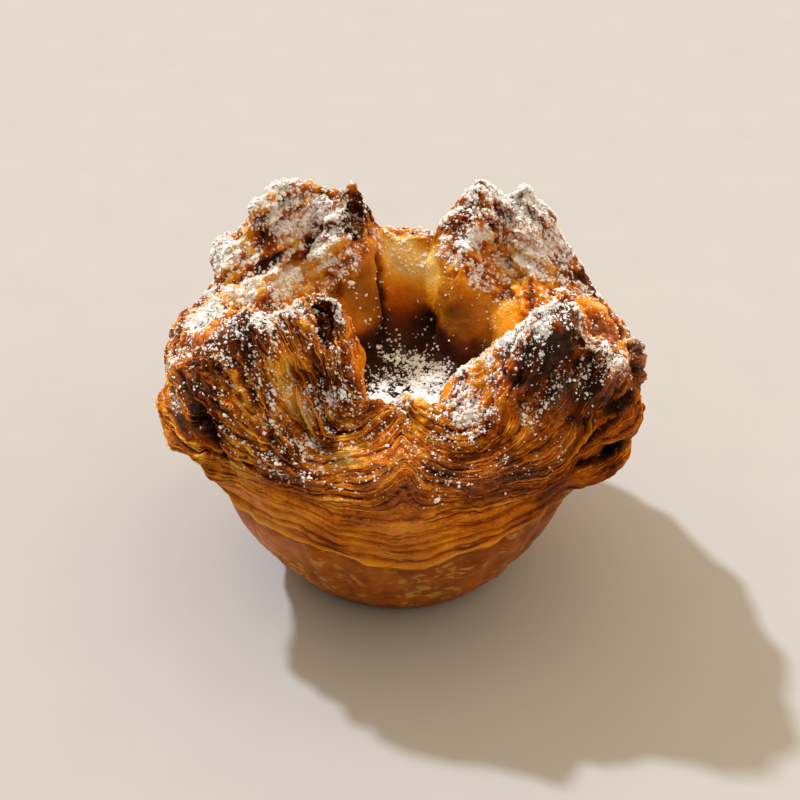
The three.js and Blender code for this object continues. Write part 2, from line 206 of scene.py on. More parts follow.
def profile(th):
    n = len(th)
    R = np.zeros((n, len(STATION_V)))
    Z = np.zeros((n, len(STATION_V)))
    for k, name in enumerate(STATION_NAMES):
        if name == "middle":
            continue
        if name == "floor":
            Z[:, k] = WELL_FLOOR_Z
            continue
        if name in FIXED:
            R[:, k], Z[:, k] = FIXED[name]
            continue
        low = saddle_size(th, name)
        total = np.zeros(n)
        acc = np.zeros((n, 2))
        for lobe in LOBES:
            r, z, turn, half = lobe[name]
            w = lobe_share(wrap(th - lobe["at"] - turn) / half)
            total += w
            acc += w[:, None] * np.array([r, z], float)
        both = low * (1 - np.minimum(total, 1))[:, None] + acc / np.maximum(total, 1)[:, None]
        R[:, k], Z[:, k] = both[:, 0], both[:, 1]
    return R, Z


def along_profile(P, v):
    h = STATION_V[1:] - STATION_V[:-1]
    d = (P[:, 1:] - P[:, :-1]) / h
    M = np.zeros_like(P)
    for k in range(1, len(STATION_V) - 1):
        a, b = d[:, k - 1], d[:, k]
        w1, w2 = 2 * h[k] + h[k - 1], h[k] + 2 * h[k - 1]
        ok = a * b > 0
        held = np.where(ok, (w1 + w2) / (w1 / np.where(ok, a, 1) + w2 / np.where(ok, b, 1)), 0)
        M[:, k] = .5 * held + .5 * (a * h[k] + b * h[k - 1]) / (h[k] + h[k - 1])
    M[:, 0], M[:, -1] = d[:, 0], d[:, -1]
    out = np.zeros((P.shape[0], len(v)))
    for j, x in enumerate(v):
        k = int(np.clip(np.searchsorted(STATION_V, x, side="right") - 1, 0, len(STATION_V) - 2))
        t = (x - STATION_V[k]) / h[k]
        out[:, j] = ((2 * t ** 3 - 3 * t ** 2 + 1) * P[:, k] + (t ** 3 - 2 * t ** 2 + t) * h[k] * M[:, k]
                     + (-2 * t ** 3 + 3 * t ** 2) * P[:, k + 1] + (t ** 3 - t ** 2) * h[k] * M[:, k + 1])
    return out


def capsule(P, a, b, r1, r2):
    a = np.array(a, float)
    ab = np.array(b, float) - a
    t = np.clip(((P - a) @ ab) / max(ab @ ab, 1e-9), 0, 1)
    d = np.linalg.norm(P - (a + t[..., None] * ab), axis=-1) / (r1 + (r2 - r1) * t)
    return np.exp(-1.4 * d * d)


def base_surface(th, v):
    R, Z = profile(th)
    r, z = along_profile(R, v), along_profile(Z, v)
    z[:, v <= STATION_V[1]] = 0
    c, s = np.cos(np.radians(th))[:, None], np.sin(np.radians(th))[:, None]
    P = np.stack([r * c, r * s, z], -1)
    D = np.zeros_like(P)
    for a, b, r1, r2, push in FOLDS:
        D += capsule(P, a, b, r1, r2)[..., None] * np.array(push, float)
    D[:, v <= STATION_V[1]] = 0
    return P + D


def normals(P):
    """Outward normals of the closed grid (columns wrap round)."""
    du = np.roll(P, -1, 0) - np.roll(P, 1, 0)
    dv = np.empty_like(P)
    dv[:, 1:-1] = P[:, 2:] - P[:, :-2]
    dv[:, 0] = P[:, 1] - P[:, 0]
    dv[:, -1] = P[:, -1] - P[:, -2]
    n = np.cross(du, dv)
    return n / np.maximum(np.linalg.norm(n, axis=-1, keepdims=True), 1e-9)


# columns are spread evenly along the folded outline, a little denser at the
# front; rows are dense where the layers show
NU = 500
dense = np.arange(0, 360, 0.25)
probe = base_surface(dense, np.array([.3, .5, .58, .66, .74]))
step = np.linalg.norm(np.roll(probe, -1, 0) - probe, axis=-1).mean(1)
step = step * (1.0 - .22 * np.sin(np.radians(dense)))
run = np.concatenate([[0], np.cumsum(step)])
TH = np.interp(np.arange(NU) * run[-1] / NU, run, np.concatenate([dense, [360.0]]))
V = np.concatenate([
    [.03, .052, .06], np.linspace(.064, .285, 27)[:-1], np.linspace(.285, .79, 293)[:-1],
    np.linspace(.79, .955, 56), [.965, .975, .985, .993]])
NV = len(V)
SPLIT = 194                        # the row where the outer crust passes into the top
B = base_surface(TH, V)
cosT, sinT = np.cos(np.radians(TH))[:, None], np.sin(np.radians(TH))[:, None]
one = np.ones((NU, NV))
VV = V[None, :] * one
THH = TH[:, None] * one
CX, SX = cosT * one, sinT * one


def flow(along, across, shift=0.0):
    """Coordinates for noise drawn out along the layers."""
    return np.stack([CX * along + 50 + shift, SX * along + 50, VV * across + 9 + shift], -1)


def blob(P, at, r):
    return np.exp(-1.2 * (np.linalg.norm(P - np.array(at, float), axis=-1) / r) ** 2)


def round_table(table):
    a = np.array([t[0] for t in table], float)
    b = np.array([t[1] for t in table], float)
    return np.interp(TH, np.concatenate([a - 360, a, a + 360]), np.concatenate([b, b, b]))


# where the smooth skin from the tin ends and the layers begin, by angle
SKIN_EDGE = [(0, .325), (20, .34), (45, .355), (70, .33), (91, .30), (112, .32), (135, .355), (160, .33), (185, .325),
             (205, .325), (224, .305), (237, .318), (252, .308), (262, .288), (270, .279), (277, .284), (284, .305),
             (297, .310), (306, .332), (314, .352), (325, .355), (340, .335)]
VB = round_table(SKIN_EDGE)[:, None] + .006 * (noise(np.stack([CX * 9 + 20, SX * 9 + 20, one * 3], -1), 11) - .5)
free = ease(.062, .13, VV)                       # keeps the underside flat
band = ease(0, .012, VV - VB) * (1 - ease(.755, .80, VV))

# slow swelling and dents of the whole crust
W = B.copy()
for ax, sd in ((0, 3), (1, 5), (2, 7)):
    W[..., ax] += free * (fbm(B / 9.0, 2, sd) - .5) * 1.5 * (0.30 + 0.70 * ease(.27, .4, VV))
    W[..., ax] += free * band * (noise(B / 3.6, sd + 50) - .5) * .7

# millimetres of surface for one unit of the profile, smoothed
G = np.linalg.norm(np.gradient(W, V, axis=1), axis=-1)
for _ in range(10):
    G = (np.roll(G, 1, 0) + 2 * G + np.roll(G, -1, 0)) / 4
    G[:, 1:-1] = (G[:, :-2] + 2 * G[:, 1:-1] + G[:, 2:]) / 4

# ---- the dough layers ------------------------------------------------------
# C is the height within the stack: it follows the skin's edge, and is lifted in
# the middle of the front where the folds meet
ARCHES = [
    # angle, half-width, lift, from v, to v
    (270.5, 7.5, .085, .42, .55), (250, 7, -.016, .42, .50), (288.5, 7, -.020, .42, .50),
    (92, 9, .030, .42, .50), (75, 8, -.014, .42, .50), (108, 8, -.014, .42, .50),
    (2, 9, .022, .42, .50), (180, 9, .020, .42, .50),
]
C = VV + (.305 - VB) * (1 - ease(.31, .46, VV))
for a, half, lift, v0, v1 in ARCHES:
    off = np.abs(wrap(THH - a)) / half
    point = np.exp(-np.sqrt(off * off + .03) * 1.25) if lift > 0 else np.exp(-off * off)
    C = C - lift * point * ease(v0, v1, VV)
C = C + .020 * (fbm(flow(1.9, 4.5), 2, 22) - .5) + .0105 * (noise(flow(6.5, 17), 28) - .5) + .0048 * (noise(W / 1.3, 29) - .5)


def sheets(per_v, along, seed, gap_at=.93):
    """One stack of dough sheets: own depth of each, tone, and the gap between."""
    x = C * per_v + .8 * (noise(np.stack([C * per_v * .5, one * 3, one * 4], -1), seed + 1) - .5)
    k = np.floor(x)
    t = x - k

    def own(kk, s):
        return noise(np.stack([CX * along + 40, SX * along + 40, kk * 7.7 + .5], -1), s)
    e = ease(.84, 1.0, t)
    depth = own(k, seed) * (1 - e) + own(k + 1, seed) * e
    tone = own(k, seed + 5) * (1 - e) + own(k + 1, seed + 5) * e
    lean = t * (1 - e)
    gap = np.exp(-((t - gap_at) / .075) ** 2) * ease(.25, .75, own(k, seed + 9))
    return depth - .5, tone - .5, gap, lean - .45


s0, t0_, g0, l0 = sheets(46, 3.2, 301)
s1, t1_, g1, l1 = sheets(98, 5.5, 321)
s2, t2_, g2, l2 = sheets(205, 8.0, 341)
sp0, sp1, sp2 = G / 46, G / 98, G / 205
a0 = ease(.5, 1.0, sp0) * np.minimum(sp0, 2.4) ** .7
a1 = ease(.42, .8, sp1) * np.minimum(sp1, 1.4) ** .7
a2 = ease(.38, .62, sp2) * np.minimum(sp2, .8) ** .7

# how strongly the sheets stand apart, by place: fine above the skin, strong in
# the folds, fading into baked crust on the tops
TOPS = round_table([(0, .60), (20, .60), (45, .60), (70, .62), (91, .62), (112, .62), (135, .60), (160, .58), (180, .58),
                    (196, .60), (206, .70), (222, .74), (240, .74), (256, .72), (270, .72), (284, .70), (296, .62), (305, .56),
                    (316, .555), (330, .57), (345, .58)])[:, None]
top = ease(-.045, .035, VV - TOPS + .05 * (noise(W / 5.0, 61) - .5))
low = 1 - ease(.05, .19, VV - VB)
amp = band * (1 - .85 * top) * (1 - .80 * low) * (.50 + .9 * noise(W / 8.0, 62))
for at, r, more in [((-20, -29, 52), 10, .40), ((2, -33, 48), 7, .30), ((17, -31, 49), 7, .30)]:
    amp = amp * (1 + more * blob(W, at, r))
SMOOTH = [((-37, -20, 46), 5, .55), ((38, -21, 46), 6, .3), ((0, -36, 41), 7, .45), ((-12, -35, 41), 6, .3), ((14, -34, 41), 6, .3), ((-18.5, -25.5, 60.5), 3, .5),
          ((2, -31, 50), 4, .25), ((-38, -21, 53), 6, .35), ((0, -37, 37), 9, .3)]
for at, r, less in SMOOTH:
    amp = amp * (1 - less * blob(W, at, r))
lay_disp = amp * (.95 * a0 * s0 + .72 * a1 * s1 + .55 * a2 * s2
                  - .62 * a0 * g0 - .42 * a1 * g1 - .25 * a2 * g2
                  + .30 * a0 * l0 + .22 * a1 * l1)

# a few long torn edges low down, where one sheet laps over the next
LAPS = [
    # stack height, from angle, to angle, step out below it
    (.318, 236, 300, .35), (.334, 200, 262, .50), (.349, 262, 330, .50), (.366, 228, 290, .45), (.386, 244, 318, .45),
    (.405, 205, 262, .5), (.425, 232, 300, .5), (.340, 20, 95, .5), (.372, 60, 150, .5), (.352, 120, 196, .5), (.395, 330, 400, .5),
]
lap = 0 * VV
lap_gap = 0 * VV
for c, a, b, out in LAPS:
    mid, half = (a + b) / 2, (b - a) / 2
    here = 1 - ease(.72, 1.0, np.abs(wrap(THH - mid)) / half)
    d = (C - c - .006 * (noise(flow(3.2, 0, c * 99), 31) - .5)) * G
    ramp_ = ease(-5.0, -.25, d) * (1 - ease(-.15, .12, d))
    lap += out * here * ramp_
    lap_gap += here * np.exp(-((d - .28) / .30) ** 2) * min(1, out * 1.8)

# sharp creases and gaps between folds, cut in along the normal
CREASES = [
    # from, to, radius at either end, depth at either end
    # front left: gap behind the flap
    ((-38.6, -17.4, 53.6), (-35.4, -23.2, 52.6), 1.1, 1.6, 1.8, 4.8),
    ((-35.4, -23.2, 52.6), (-32.3, -26.8, 49.2), 1.6, 1.7, 5.2, 5.2),
    ((-32.3, -26.8, 49.2), (-30.2, -28.6, 45.2), 1.6, 1.2, 4.6, 3.0),
    ((-30.2, -28.6, 45.2), (-27.6, -30.2, 39.8), 1.0, .6, 2.4, 1.0),
    # hollow of the curl at the top of that lobe
    ((-13.0, -18.8, 67.0), (-12.0, -20.4, 63.8), 1.35, 1.35, 2.3, 2.7),
    ((-12.0, -22.6, 61.6), (-11.2, -23.8, 59.6), .7, .6, 1.2, .8),
    # upright crevices on its face
    ((-16.2, -27.5, 57.0), (-15.0, -31.3, 50), .6, .8, 1.0, 1.6),
    ((-18.9, -28.0, 56), (-18.0, -31.6, 48), .5, .6, .9, 1.2),
    ((-21.5, -27.5, 57), (-21.4, -31.6, 47), .5, .6, .8, 1.0),
    ((-25.5, -26.0, 58), (-25.8, -30.5, 46), .5, .6, .8, 1.0),
    ((-15.0, -31.3, 50), (-9.0, -35.4, 46), .8, 1.1, 1.4, 2.2),
    ((-9.0, -35.4, 46), (-4.0, -36.2, 48.2), 1.0, .6, 2.0, .8),
    ((-13.0, -28.5, 55), (-8.4, -33.6, 48.6), .5, .6, .7, 1.0),
    # inner edge of the lobe against the front rim
    ((-7.0, -25.8, 54.6), (-6.2, -22.0, 55.5), .8, .9, 1.2, 1.6),
    # front right: hollow under the ridge
    ((14.5, -29.5, 54.0), (20.0, -29.6, 56.0), .9, 1.1, 1.2, 2.4),
    ((20.0, -29.6, 56.0), (28.6, -26.0, 61.0), 1.1, 1.3, 2.8, 3.0),
    ((8.5, -36.0, 45.7), (14.5, -34, 48.5), .7, .7, 1.3, 1.0),
    ((12.0, -31.5, 51.0), (10.5, -33.8, 48.5), .6, .6, .8, 1.0),
    ((30, -23.5, 63.8), (30.2, -26, 58.5), .9, .8, 1.6, 1.4),
    # slots between the sheets that fan out to the right
    ((27.6, -29.2, 52.6), (33.0, -26.3, 51.6), .5, .9, 1.2, 2.6),
    ((33.0, -26.3, 51.6), (39.5, -19.5, 49.8), .8, 1.1, 1.8, 2.2),
    ((25.6, -30.2, 38.4), (30.4, -28.0, 40.6), .4, .8, .8, 2.4),
    ((30.4, -28.0, 40.6), (35.0, -25.2, 41.2), .8, 1.2, 2.4, 4.4),
    ((35.0, -25.2, 41.2), (42.0, -18.0, 41.4), 1.2, 1.3, 4.4, 5.0),
    ((31.5, -28.3, 46.5), (42.5, -18.5, 45.5), .4, .55, .8, 1.5),
    ((33.5, -26.5, 48.6), (43.0, -17.0, 47.4), .35, .5, .5, 1.2),
    # curled end at the right
    ((41.6, -15.6, 54.4), (43.4, -14.6, 49.5), 1.2, 1.6, 2.0, 4.2),
    ((39.8, -18.6, 53.4), (42.0, -17.6, 48.4), .5, .6, 1.0, 1.4),
    ((36.2, -19.0, 57.6), (41.6, -12.6, 56.0), .8, .8, 1.4, 1.2),
    # back lobes as seen over the well
    ((-9.0, 19.0, 66.4), (-9.0, 17.2, 60.5), 1.1, 1.3, 2.8, 3.2),
    ((-27, 14.5, 60), (-21, 17, 61.5), .9, .8, 1.2, 1.4),
    ((-21, 17, 61.5), (-13.5, 16.5, 65), .8, .8, 1.4, 1.2),
    ((-27.5, 11.0, 56.5), (-24.4, 13.6, 57.0), 1.0, 1.2, 1.0, 1.8), ((-24.4, 13.6, 57.0), (-17.5, 18.0, 58.5), 1.2, 1.0, 1.8, 1.2),
    ((-36.5, 4.2, 53.6), (-22, 5.5, 53.0), .8, .7, 1.2, 1.0),
    ((-32.5, 16.6, 57.0), (-30.0, 18.0, 60.5), .9, .9, 1.6, 1.6),
    ((20, 18.5, 66), (17, 18.0, 60), .9, .8, 1.4, 1.0),
    ((27.5, 16.5, 62), (33, 12, 56), .8, .7, 1.2, 1.0),
    ((13, 14.2, 56), (21.5, 12.2, 54.6), .6, .7, .8, 1.2),
    ((-4.6, 19.0, 54), (-3.4, 16.0, 42), 1.5, 1.7, 2.0, 2.6),
    ((3.4, 18.0, 46.5), (5.4, 14.5, 39.5), 1.0, 1.7, .4, 2.2),
    # the far side
    ((-28, 31, 56), (-36, 24, 46), .8, 1.0, 1.8, 2.4), ((-20, 35, 52), (-32, 29, 40), .6, .9, 1.0, 2.2),
    ((26, 31, 56), (37, 22, 47), .8, 1.0, 1.8, 2.6), ((20, 34, 50), (33, 27, 40), .6, .9, 1.0, 2.4),
    ((-8, 35, 48), (6, 36, 44), .6, .6, 1.0, 1.2), ((-42, 6, 44), (-38, 18, 42), .6, .9, 1.0, 2.0),
    ((43, 4, 43), (39, 16, 42), .6, .9, 1.0, 2.2), ((10, 33, 58), (13, 35, 46), .8, .7, 1.8, 1.0),
    ((-15, 34, 58), (-12, 36, 46), .8, .7, 1.6, 1.0),
]
# local swellings, pushed out along the normal
SWELLS = [
    # place, radius, height
    ((-40.5, -14.0, 44.0), 3.0, .9), ((-36.5, -20.5, 40.5), 2.4, .7), ((35.5, -24.5, 46.0), 3.0, .7), ((39.5, -20.0, 43.8), 2.4, .9),
    ((34.0, -25.5, 37.4), 2.4, .6), ((-14.9, -21.4, 66.6), 1.3, .8), ((-9.7, -19.4, 66.0), 1.3, .9), ((-17.5, -22.0, 66.5), 2.0, .5),
    ((1.0, -25.0, 54.0), 1.8, .8), ((-22, 14.2, 58.5), 2.2, .9), ((-13, 15.2, 61.5), 2.2, .9), ((-32, 13, 56), 2.6, .8),
    ((-26.5, 5.5, 54.6), 2.6, .7), ((-34, 0, 53.5), 2.6, .6), ((24, 17, 61), 3.0, .8), ((16, 19, 64), 2.4, .6),
    ((30, -15, 62), 2.6, .6), ((35.5, -21.5, 60), 2.6, .8),
]


def capsule2(P, a, b, r1, r2, d1, d2):
    a = np.array(a, float)
    ab = np.array(b, float) - a
    t = np.clip(((P - a) @ ab) / max(ab @ ab, 1e-9), 0, 1)
    d = np.linalg.norm(P - (a + t[..., None] * ab), axis=-1) / (r1 + (r2 - r1) * t)
    return (d1 + (d2 - d1) * t) * np.exp(-1.4 * d ** 2.4)


N1 = normals(W)
WJ = W + (np.stack([noise(W / 2.2, 501), noise(W / 2.2, 502), noise(W / 2.2, 503)], -1) - .5) * .9
cut = np.zeros((NU, NV))
for crease in CREASES:
    cut = np.maximum(cut, capsule2(WJ, *crease)) + .25 * np.minimum(cut, capsule2(WJ, *crease))
cut *= 0.8 + 0.4 * noise(W / 1.7, 77)
swell = np.zeros((NU, NV))
for at, r, h in SWELLS:
    swell += h * blob(W, at, r)

# blisters and rough caramel on the tops: rounded lumps with sharp dents
def lumps(scale, seed):
    return np.abs(2 * noise(W / scale, seed) - 1)


CRUST_TO = round_table([(0, .80), (20, .785), (30, .81), (42, .825), (55, .815), (70, .785), (85, .755), (104, .775), (115, .805), (124, .822), (129, .832),
                        (134, .835), (145, .865), (165, .85),
                        (190, .80), (215, .80), (235, .83), (256, .84), (266, .78), (280, .78), (300, .80), (330, .80)])[:, None]
CRUST_TO = CRUST_TO + .03 * (noise(W / 3.0, 64) - .5)
crusty = top * ease(0, .012, VV - VB) * (1 - ease(-.012, .012, VV - CRUST_TO))
crusty = np.maximum(crusty, ease(.60, .68, VV) * (1 - ease(-.012, .012, VV - CRUST_TO)) * .45)
streak = np.abs(2 * noise(np.stack([CX * 7 + 30, SX * 7 + 30, C * 34 + 4], -1), 87) - 1)
crag = (.5 * (lumps(5.6, 71) - .42) + .9 * (streak - .42) - .62 * (lumps(2.7, 72) - .42) - .34 * (lumps(1.5, 88) - .42)
        + .60 * (noise(W / .9, 73) - .5) + .36 * (noise(W / .55, 89) - .5))
# long folds drawn across the lobes, one direction for each
DRAWN = [
    # place, reach, direction of the folds, their width and length, height
    ((-24, 15, 60), 12, (.86, .42, .26), 2.6, 13, 2.5),
    ((-34, 3, 54), 8, (.5, .75, .25), 2.4, 10, 1.7),
    ((21, 16, 61), 10, (.80, -.35, -.48), 2.3, 7, 1.6),
    ((33, 2, 54), 9, (.35, -.85, .3), 2.6, 11, 1.5),
    ((22, -27, 60), 6, (.85, .25, .45), 2.2, 7, 1.2),
]
# single folds standing up from the crust
RIDGES = [
    # from, to, radius at either end, height at either end
    ((-34, 12.5, 56), (-25, 16.5, 60.5), 1.0, 1.3, 1.0, 1.6), ((-25, 16.5, 60.5), (-16, 19, 63), 1.3, .9, 1.6, .9),
    ((-34.5, 5.2, 53.1), (-27.2, 7.7, 55.2), 1.0, 1.3, 1.0, 1.7), ((-27.2, 7.7, 55.2), (-21.4, 15.4, 54.2), 1.3, 1.4, 1.7, 2.0),
    ((-21.4, 15.4, 54.2), (-15.9, 15.9, 56.6), 1.4, 1.3, 2.0, 1.9), ((-15.9, 15.9, 56.6), (-9.9, 15.1, 60.8), 1.3, 1.0, 1.9, 1.2),
    ((-27.0, 5.1, 54.6), (-22.7, 11.6, 53.2), .9, 1.0, .9, 1.3), ((-22.7, 11.6, 53.2), (-16.0, 14.2, 53.8), 1.0, 1.0, 1.3, 1.3),
    ((-16.0, 14.2, 53.8), (-10.4, 13.3, 58.5), 1.0, .9, 1.3, .9),
    ((-37, 15, 55), (-29, 17.5, 61), .8, 1.0, .7, 1.2), ((-38, 1, 50), (-33, -8, 54), .7, .9, .5, 1.1),
    ((12, 18, 62), (20, 13, 57), .8, 1.0, .6, 1.2), ((17, 20, 67), (28, 14, 60), .9, 1.0, .8, 1.1),
    ((-25, -26.5, 58), (-22.5, -31, 47.5), .6, .5, .7, .4), ((-20.2, -27.8, 57), (-19.5, -31.8, 47.5), .55, .5, .7, .4),
    ((-17.2, -27.8, 57), (-16.4, -31.2, 49), .55, .5, .8, .5),
]
drawn = 0 * VV
for n_, (at, r, way, wide, long_, tall) in enumerate(DRAWN):
    way = np.array(way) / np.linalg.norm(way)
    along_ = (W @ way)[..., None] * way
    q = (W - along_) / wide + along_ / long_
    drawn += blob(W, at, r) * tall * (1 - 2.1 * np.abs(2 * noise(q + 3.1 * n_, 211 + n_) - 1) + .25 * (noise(q * 2.3, 231 + n_) - .5))
drawn *= ease(.44, .56, VV) * (1 - ease(.80, .86, VV))
ridge = 0 * VV
for fold in RIDGES:
    ridge = np.maximum(ridge, capsule2(WJ, *fold))
rough = crusty * (1.10 * crag - .30) + .78 * drawn + ridge * (.7 + .6 * noise(W / 2.0, 261))
# crisp, crumbly skin on the faces of the front lobes
CRISP = [((-22, -27, 56), 9, 1), ((-12, -28, 56), 7, 1), ((-20, -31, 46), 6, .8), ((10, -28, 53), 5, .8), ((22, -28, 58), 7, .9), ((-34, -22, 56), 6, .8),
         ((-12, -34, 46), 5, .8), ((2, -30, 51.5), 8, .9), ((-5, -32, 48), 6, .9), ((16, -31, 50), 6, .8)]
crisp = 0 * VV
for at, r, w in CRISP:
    crisp = np.maximum(crisp, w * blob(W, at, r))
rough += crisp * (.55 * (noise(W / 1.5, 401) - .5) + .50 * (noise(W / .8, 402) - .5))
rough += crusty * .5 * (s1 + .6 * s0)
rough += .44 * band * (noise(W / 1.2, 79) - .5) * (.4 + .6 * ease(.03, .12, VV - VB))
inner = ease(-.012, .012, VV - CRUST_TO) * (1 - ease(.93, .97, VV))
rough += inner * ((fbm(W / 6.0, 2, 74) - .5) * 1.8 + (noise(W / 2.6, 75) - .5) * .45 + (noise(W / 1.1, 70) - .5) * .16)
rough += ease(.93, .965, VV) * (1 - ease(.972, .998, VV)) * ((fbm(W / 2.4, 3, 78) - .5) * 1.7)
# the tin's skin: faint blisters, slanted ripples
skin = ease(.06, .10, VV) * (1 - ease(-.012, 0, VV - VB))
ripple = noise(np.stack([CX * 13 + 30 + VV * 6, SX * 13 + 30 + VV * 3, VV * 7], -1), 83)
rough += free * skin * ((ripple - .5) * .95 + (fbm(flow(13, 26), 2, 84) - .5) * .55 + (noise(W / 1.5, 76) - .5) * .22)

S = W + N1 * (lay_disp + lap * band + rough + swell - cut * free)[..., None]
# the skin's torn edge stands a little proud of the layers above it
edge_line = ease(-.022, -.002, VV - VB) * (1 - ease(0, .006, VV - VB))
S += N1 * (edge_line * 1.0 * (0.2 + noise(flow(14, 0), 79)))[..., None]
S[..., 2] = np.maximum(S[..., 2], 0)
S[:, V <= STATION_V[1], 2] = 0

# keep the visible form inside the solid's own box
lo = np.array(CAD_BOX[0]) / MM
hi = np.array(CAD_BOX[1]) / MM
room = 0.012 * (hi - lo)
S = np.minimum(np.maximum(S, lo - room), hi + room)
S[..., 2] = np.maximum(S[..., 2], 0)
def make_mesh(name, verts, quads=None, tris=None, smooth=True):
    me = bpy.data.meshes.new(name)
    nq = 0 if quads is None else len(quads)
    nt = 0 if tris is None else len(tris)
    me.vertices.add(len(verts))
    me.vertices.foreach_set("co", (np.asarray(verts, float) * MM).astype(np.float32).ravel())
    me.loops.add(nq * 4 + nt * 3)
    me.polygons.add(nq + nt)
    parts, starts, totals = [], [], []
    if nq:
        parts.append(quads.ravel())
        starts.append(np.arange(nq) * 4)
        totals.append(np.full(nq, 4))
    if nt:
        parts.append(tris.ravel())
        starts.append(nq * 4 + np.arange(nt) * 3)
        totals.append(np.full(nt, 3))
    me.loops.foreach_set("vertex_index", np.concatenate(parts).astype(np.int32))
    me.polygons.foreach_set("loop_start", np.concatenate(starts).astype(np.int32))
    me.polygons.foreach_set("loop_total", np.concatenate(totals).astype(np.int32))
    me.update(calc_edges=True)
    me.validate()
    me.polygons.foreach_set("use_smooth", np.full(nq + nt, smooth))
    ob = bpy.data.objects.new(name, me)
    bpy.context.scene.collection.objects.link(ob)
    return ob


def give_all(name, values, foot, floor_):
    """One attribute on both pieces of the crust."""
    flat = np.asarray(values).reshape(NU, NV, -1)
    for ob, part, pole in ((crust, flat[:, :SPLIT + 1], foot), (top_crust, flat[:, SPLIT:], floor_)):
        v = part.reshape(NU * part.shape[1], -1)
        v = np.vstack([v, np.broadcast_to(np.atleast_1d(pole), (1, v.shape[1]))])
        give(ob.data, name, v[:, 0] if v.shape[1] == 1 else v)


def give(me, name, values):
    values = np.asarray(values, np.float32)
    if values.ndim == 1:
        me.attributes.new(name, "FLOAT", "POINT").data.foreach_set("value", values)
    else:
        me.attributes.new(name, "FLOAT_VECTOR", "POINT").data.foreach_set("vector", values.ravel())




# ---------------------------------------------------------------------------
# Browning, with painted light and shade added in places: 0 pale inner dough, 1 nearly black caramel
# ---------------------------------------------------------------------------
N2 = normals(S)
CB = C + 0 * VV
bake_and_shading = np.interp(CB, [.06, .20, .29, .306, .33, .40, .45, .50, .56, .62, .70, .76, .80, .84, .88, .94, 1],
                 [.57, .54, .52, .44, .40, .42, .51, .55, .49, .51, .52, .48, .41, .40, .50, .74, .78])
# the well: buttery near the rim; darker and redder low down, partly burnt sugar and partly painted shade
edge_z = np.interp(THH, [0, 25, 45, 62, 90, 120, 150, 200, 240, 300, 360], [42.5, 43.2, 45, 45, 43.0, 44, 44, 43, 46, 46, 42]) + 2.4 * (noise(W / 3.0, 66) - .5)
well_shade_and_burn = ease(.79, .83, VV) * ease(edge_z + 1.6, edge_z - 2.6, W[..., 2])
bake_and_shading = bake_and_shading + .40 * well_shade_and_burn - crusty * .0
# browner near the top; raised folds and ridges paler, partly baked colour and partly painted highlight
bake_and_shading = bake_and_shading + .03 * ease(60, 69, S[..., 2]) - .24 * np.clip(drawn, -1, 1) - .22 * np.clip(ridge, 0, 1)
bake_and_shading = bake_and_shading + crisp * .13 * 2 * (noise(W / 1.2, 403) - .5)
bake_and_shading = bake_and_shading + .17 * (fbm(W / 6.5, 3, 81) - .5) * 2 * (0.35 + band)
# crust paler on its bulges and darker in its dents: partly baked colour, partly painted highlight and shade
bake_and_shading = bake_and_shading - crusty * .36 * np.clip(crag, -.6, .8) - .03 * crusty
bake_and_shading = bake_and_shading + amp * (.22 * t0_ + .28 * t1_ + .24 * t2_)
# at the skin's torn edge: paler along the edge as painted highlight, darker on the skin just below it as painted
# shadow, and darker in a narrow band just above it
bake_and_shading = bake_and_shading - .16 * ease(-.008, -.002, VV - VB) * (1 - ease(0, .006, VV - VB)) + .16 * ease(.004, .012, VV - VB) * (1 - ease(.014, .030, VV - VB)) + .12 * ease(-.05, -.012, VV - VB) * (1 - ease(-.012, -.006, VV - VB))
red = .30 * (fbm(W / 8.0, 2, 85) - .5) * 2
# the redder colour low in the well goes with its painted shade
red = red + .20 * skin - .45 * inner * (1 - well_shade_and_burn) + .6 * well_shade_and_burn
gloss = .45 + .5 * (fbm(W / 7.0, 2, 86) - .5) + .25 * np.exp(-((CB - .50) / .06) ** 2) * band
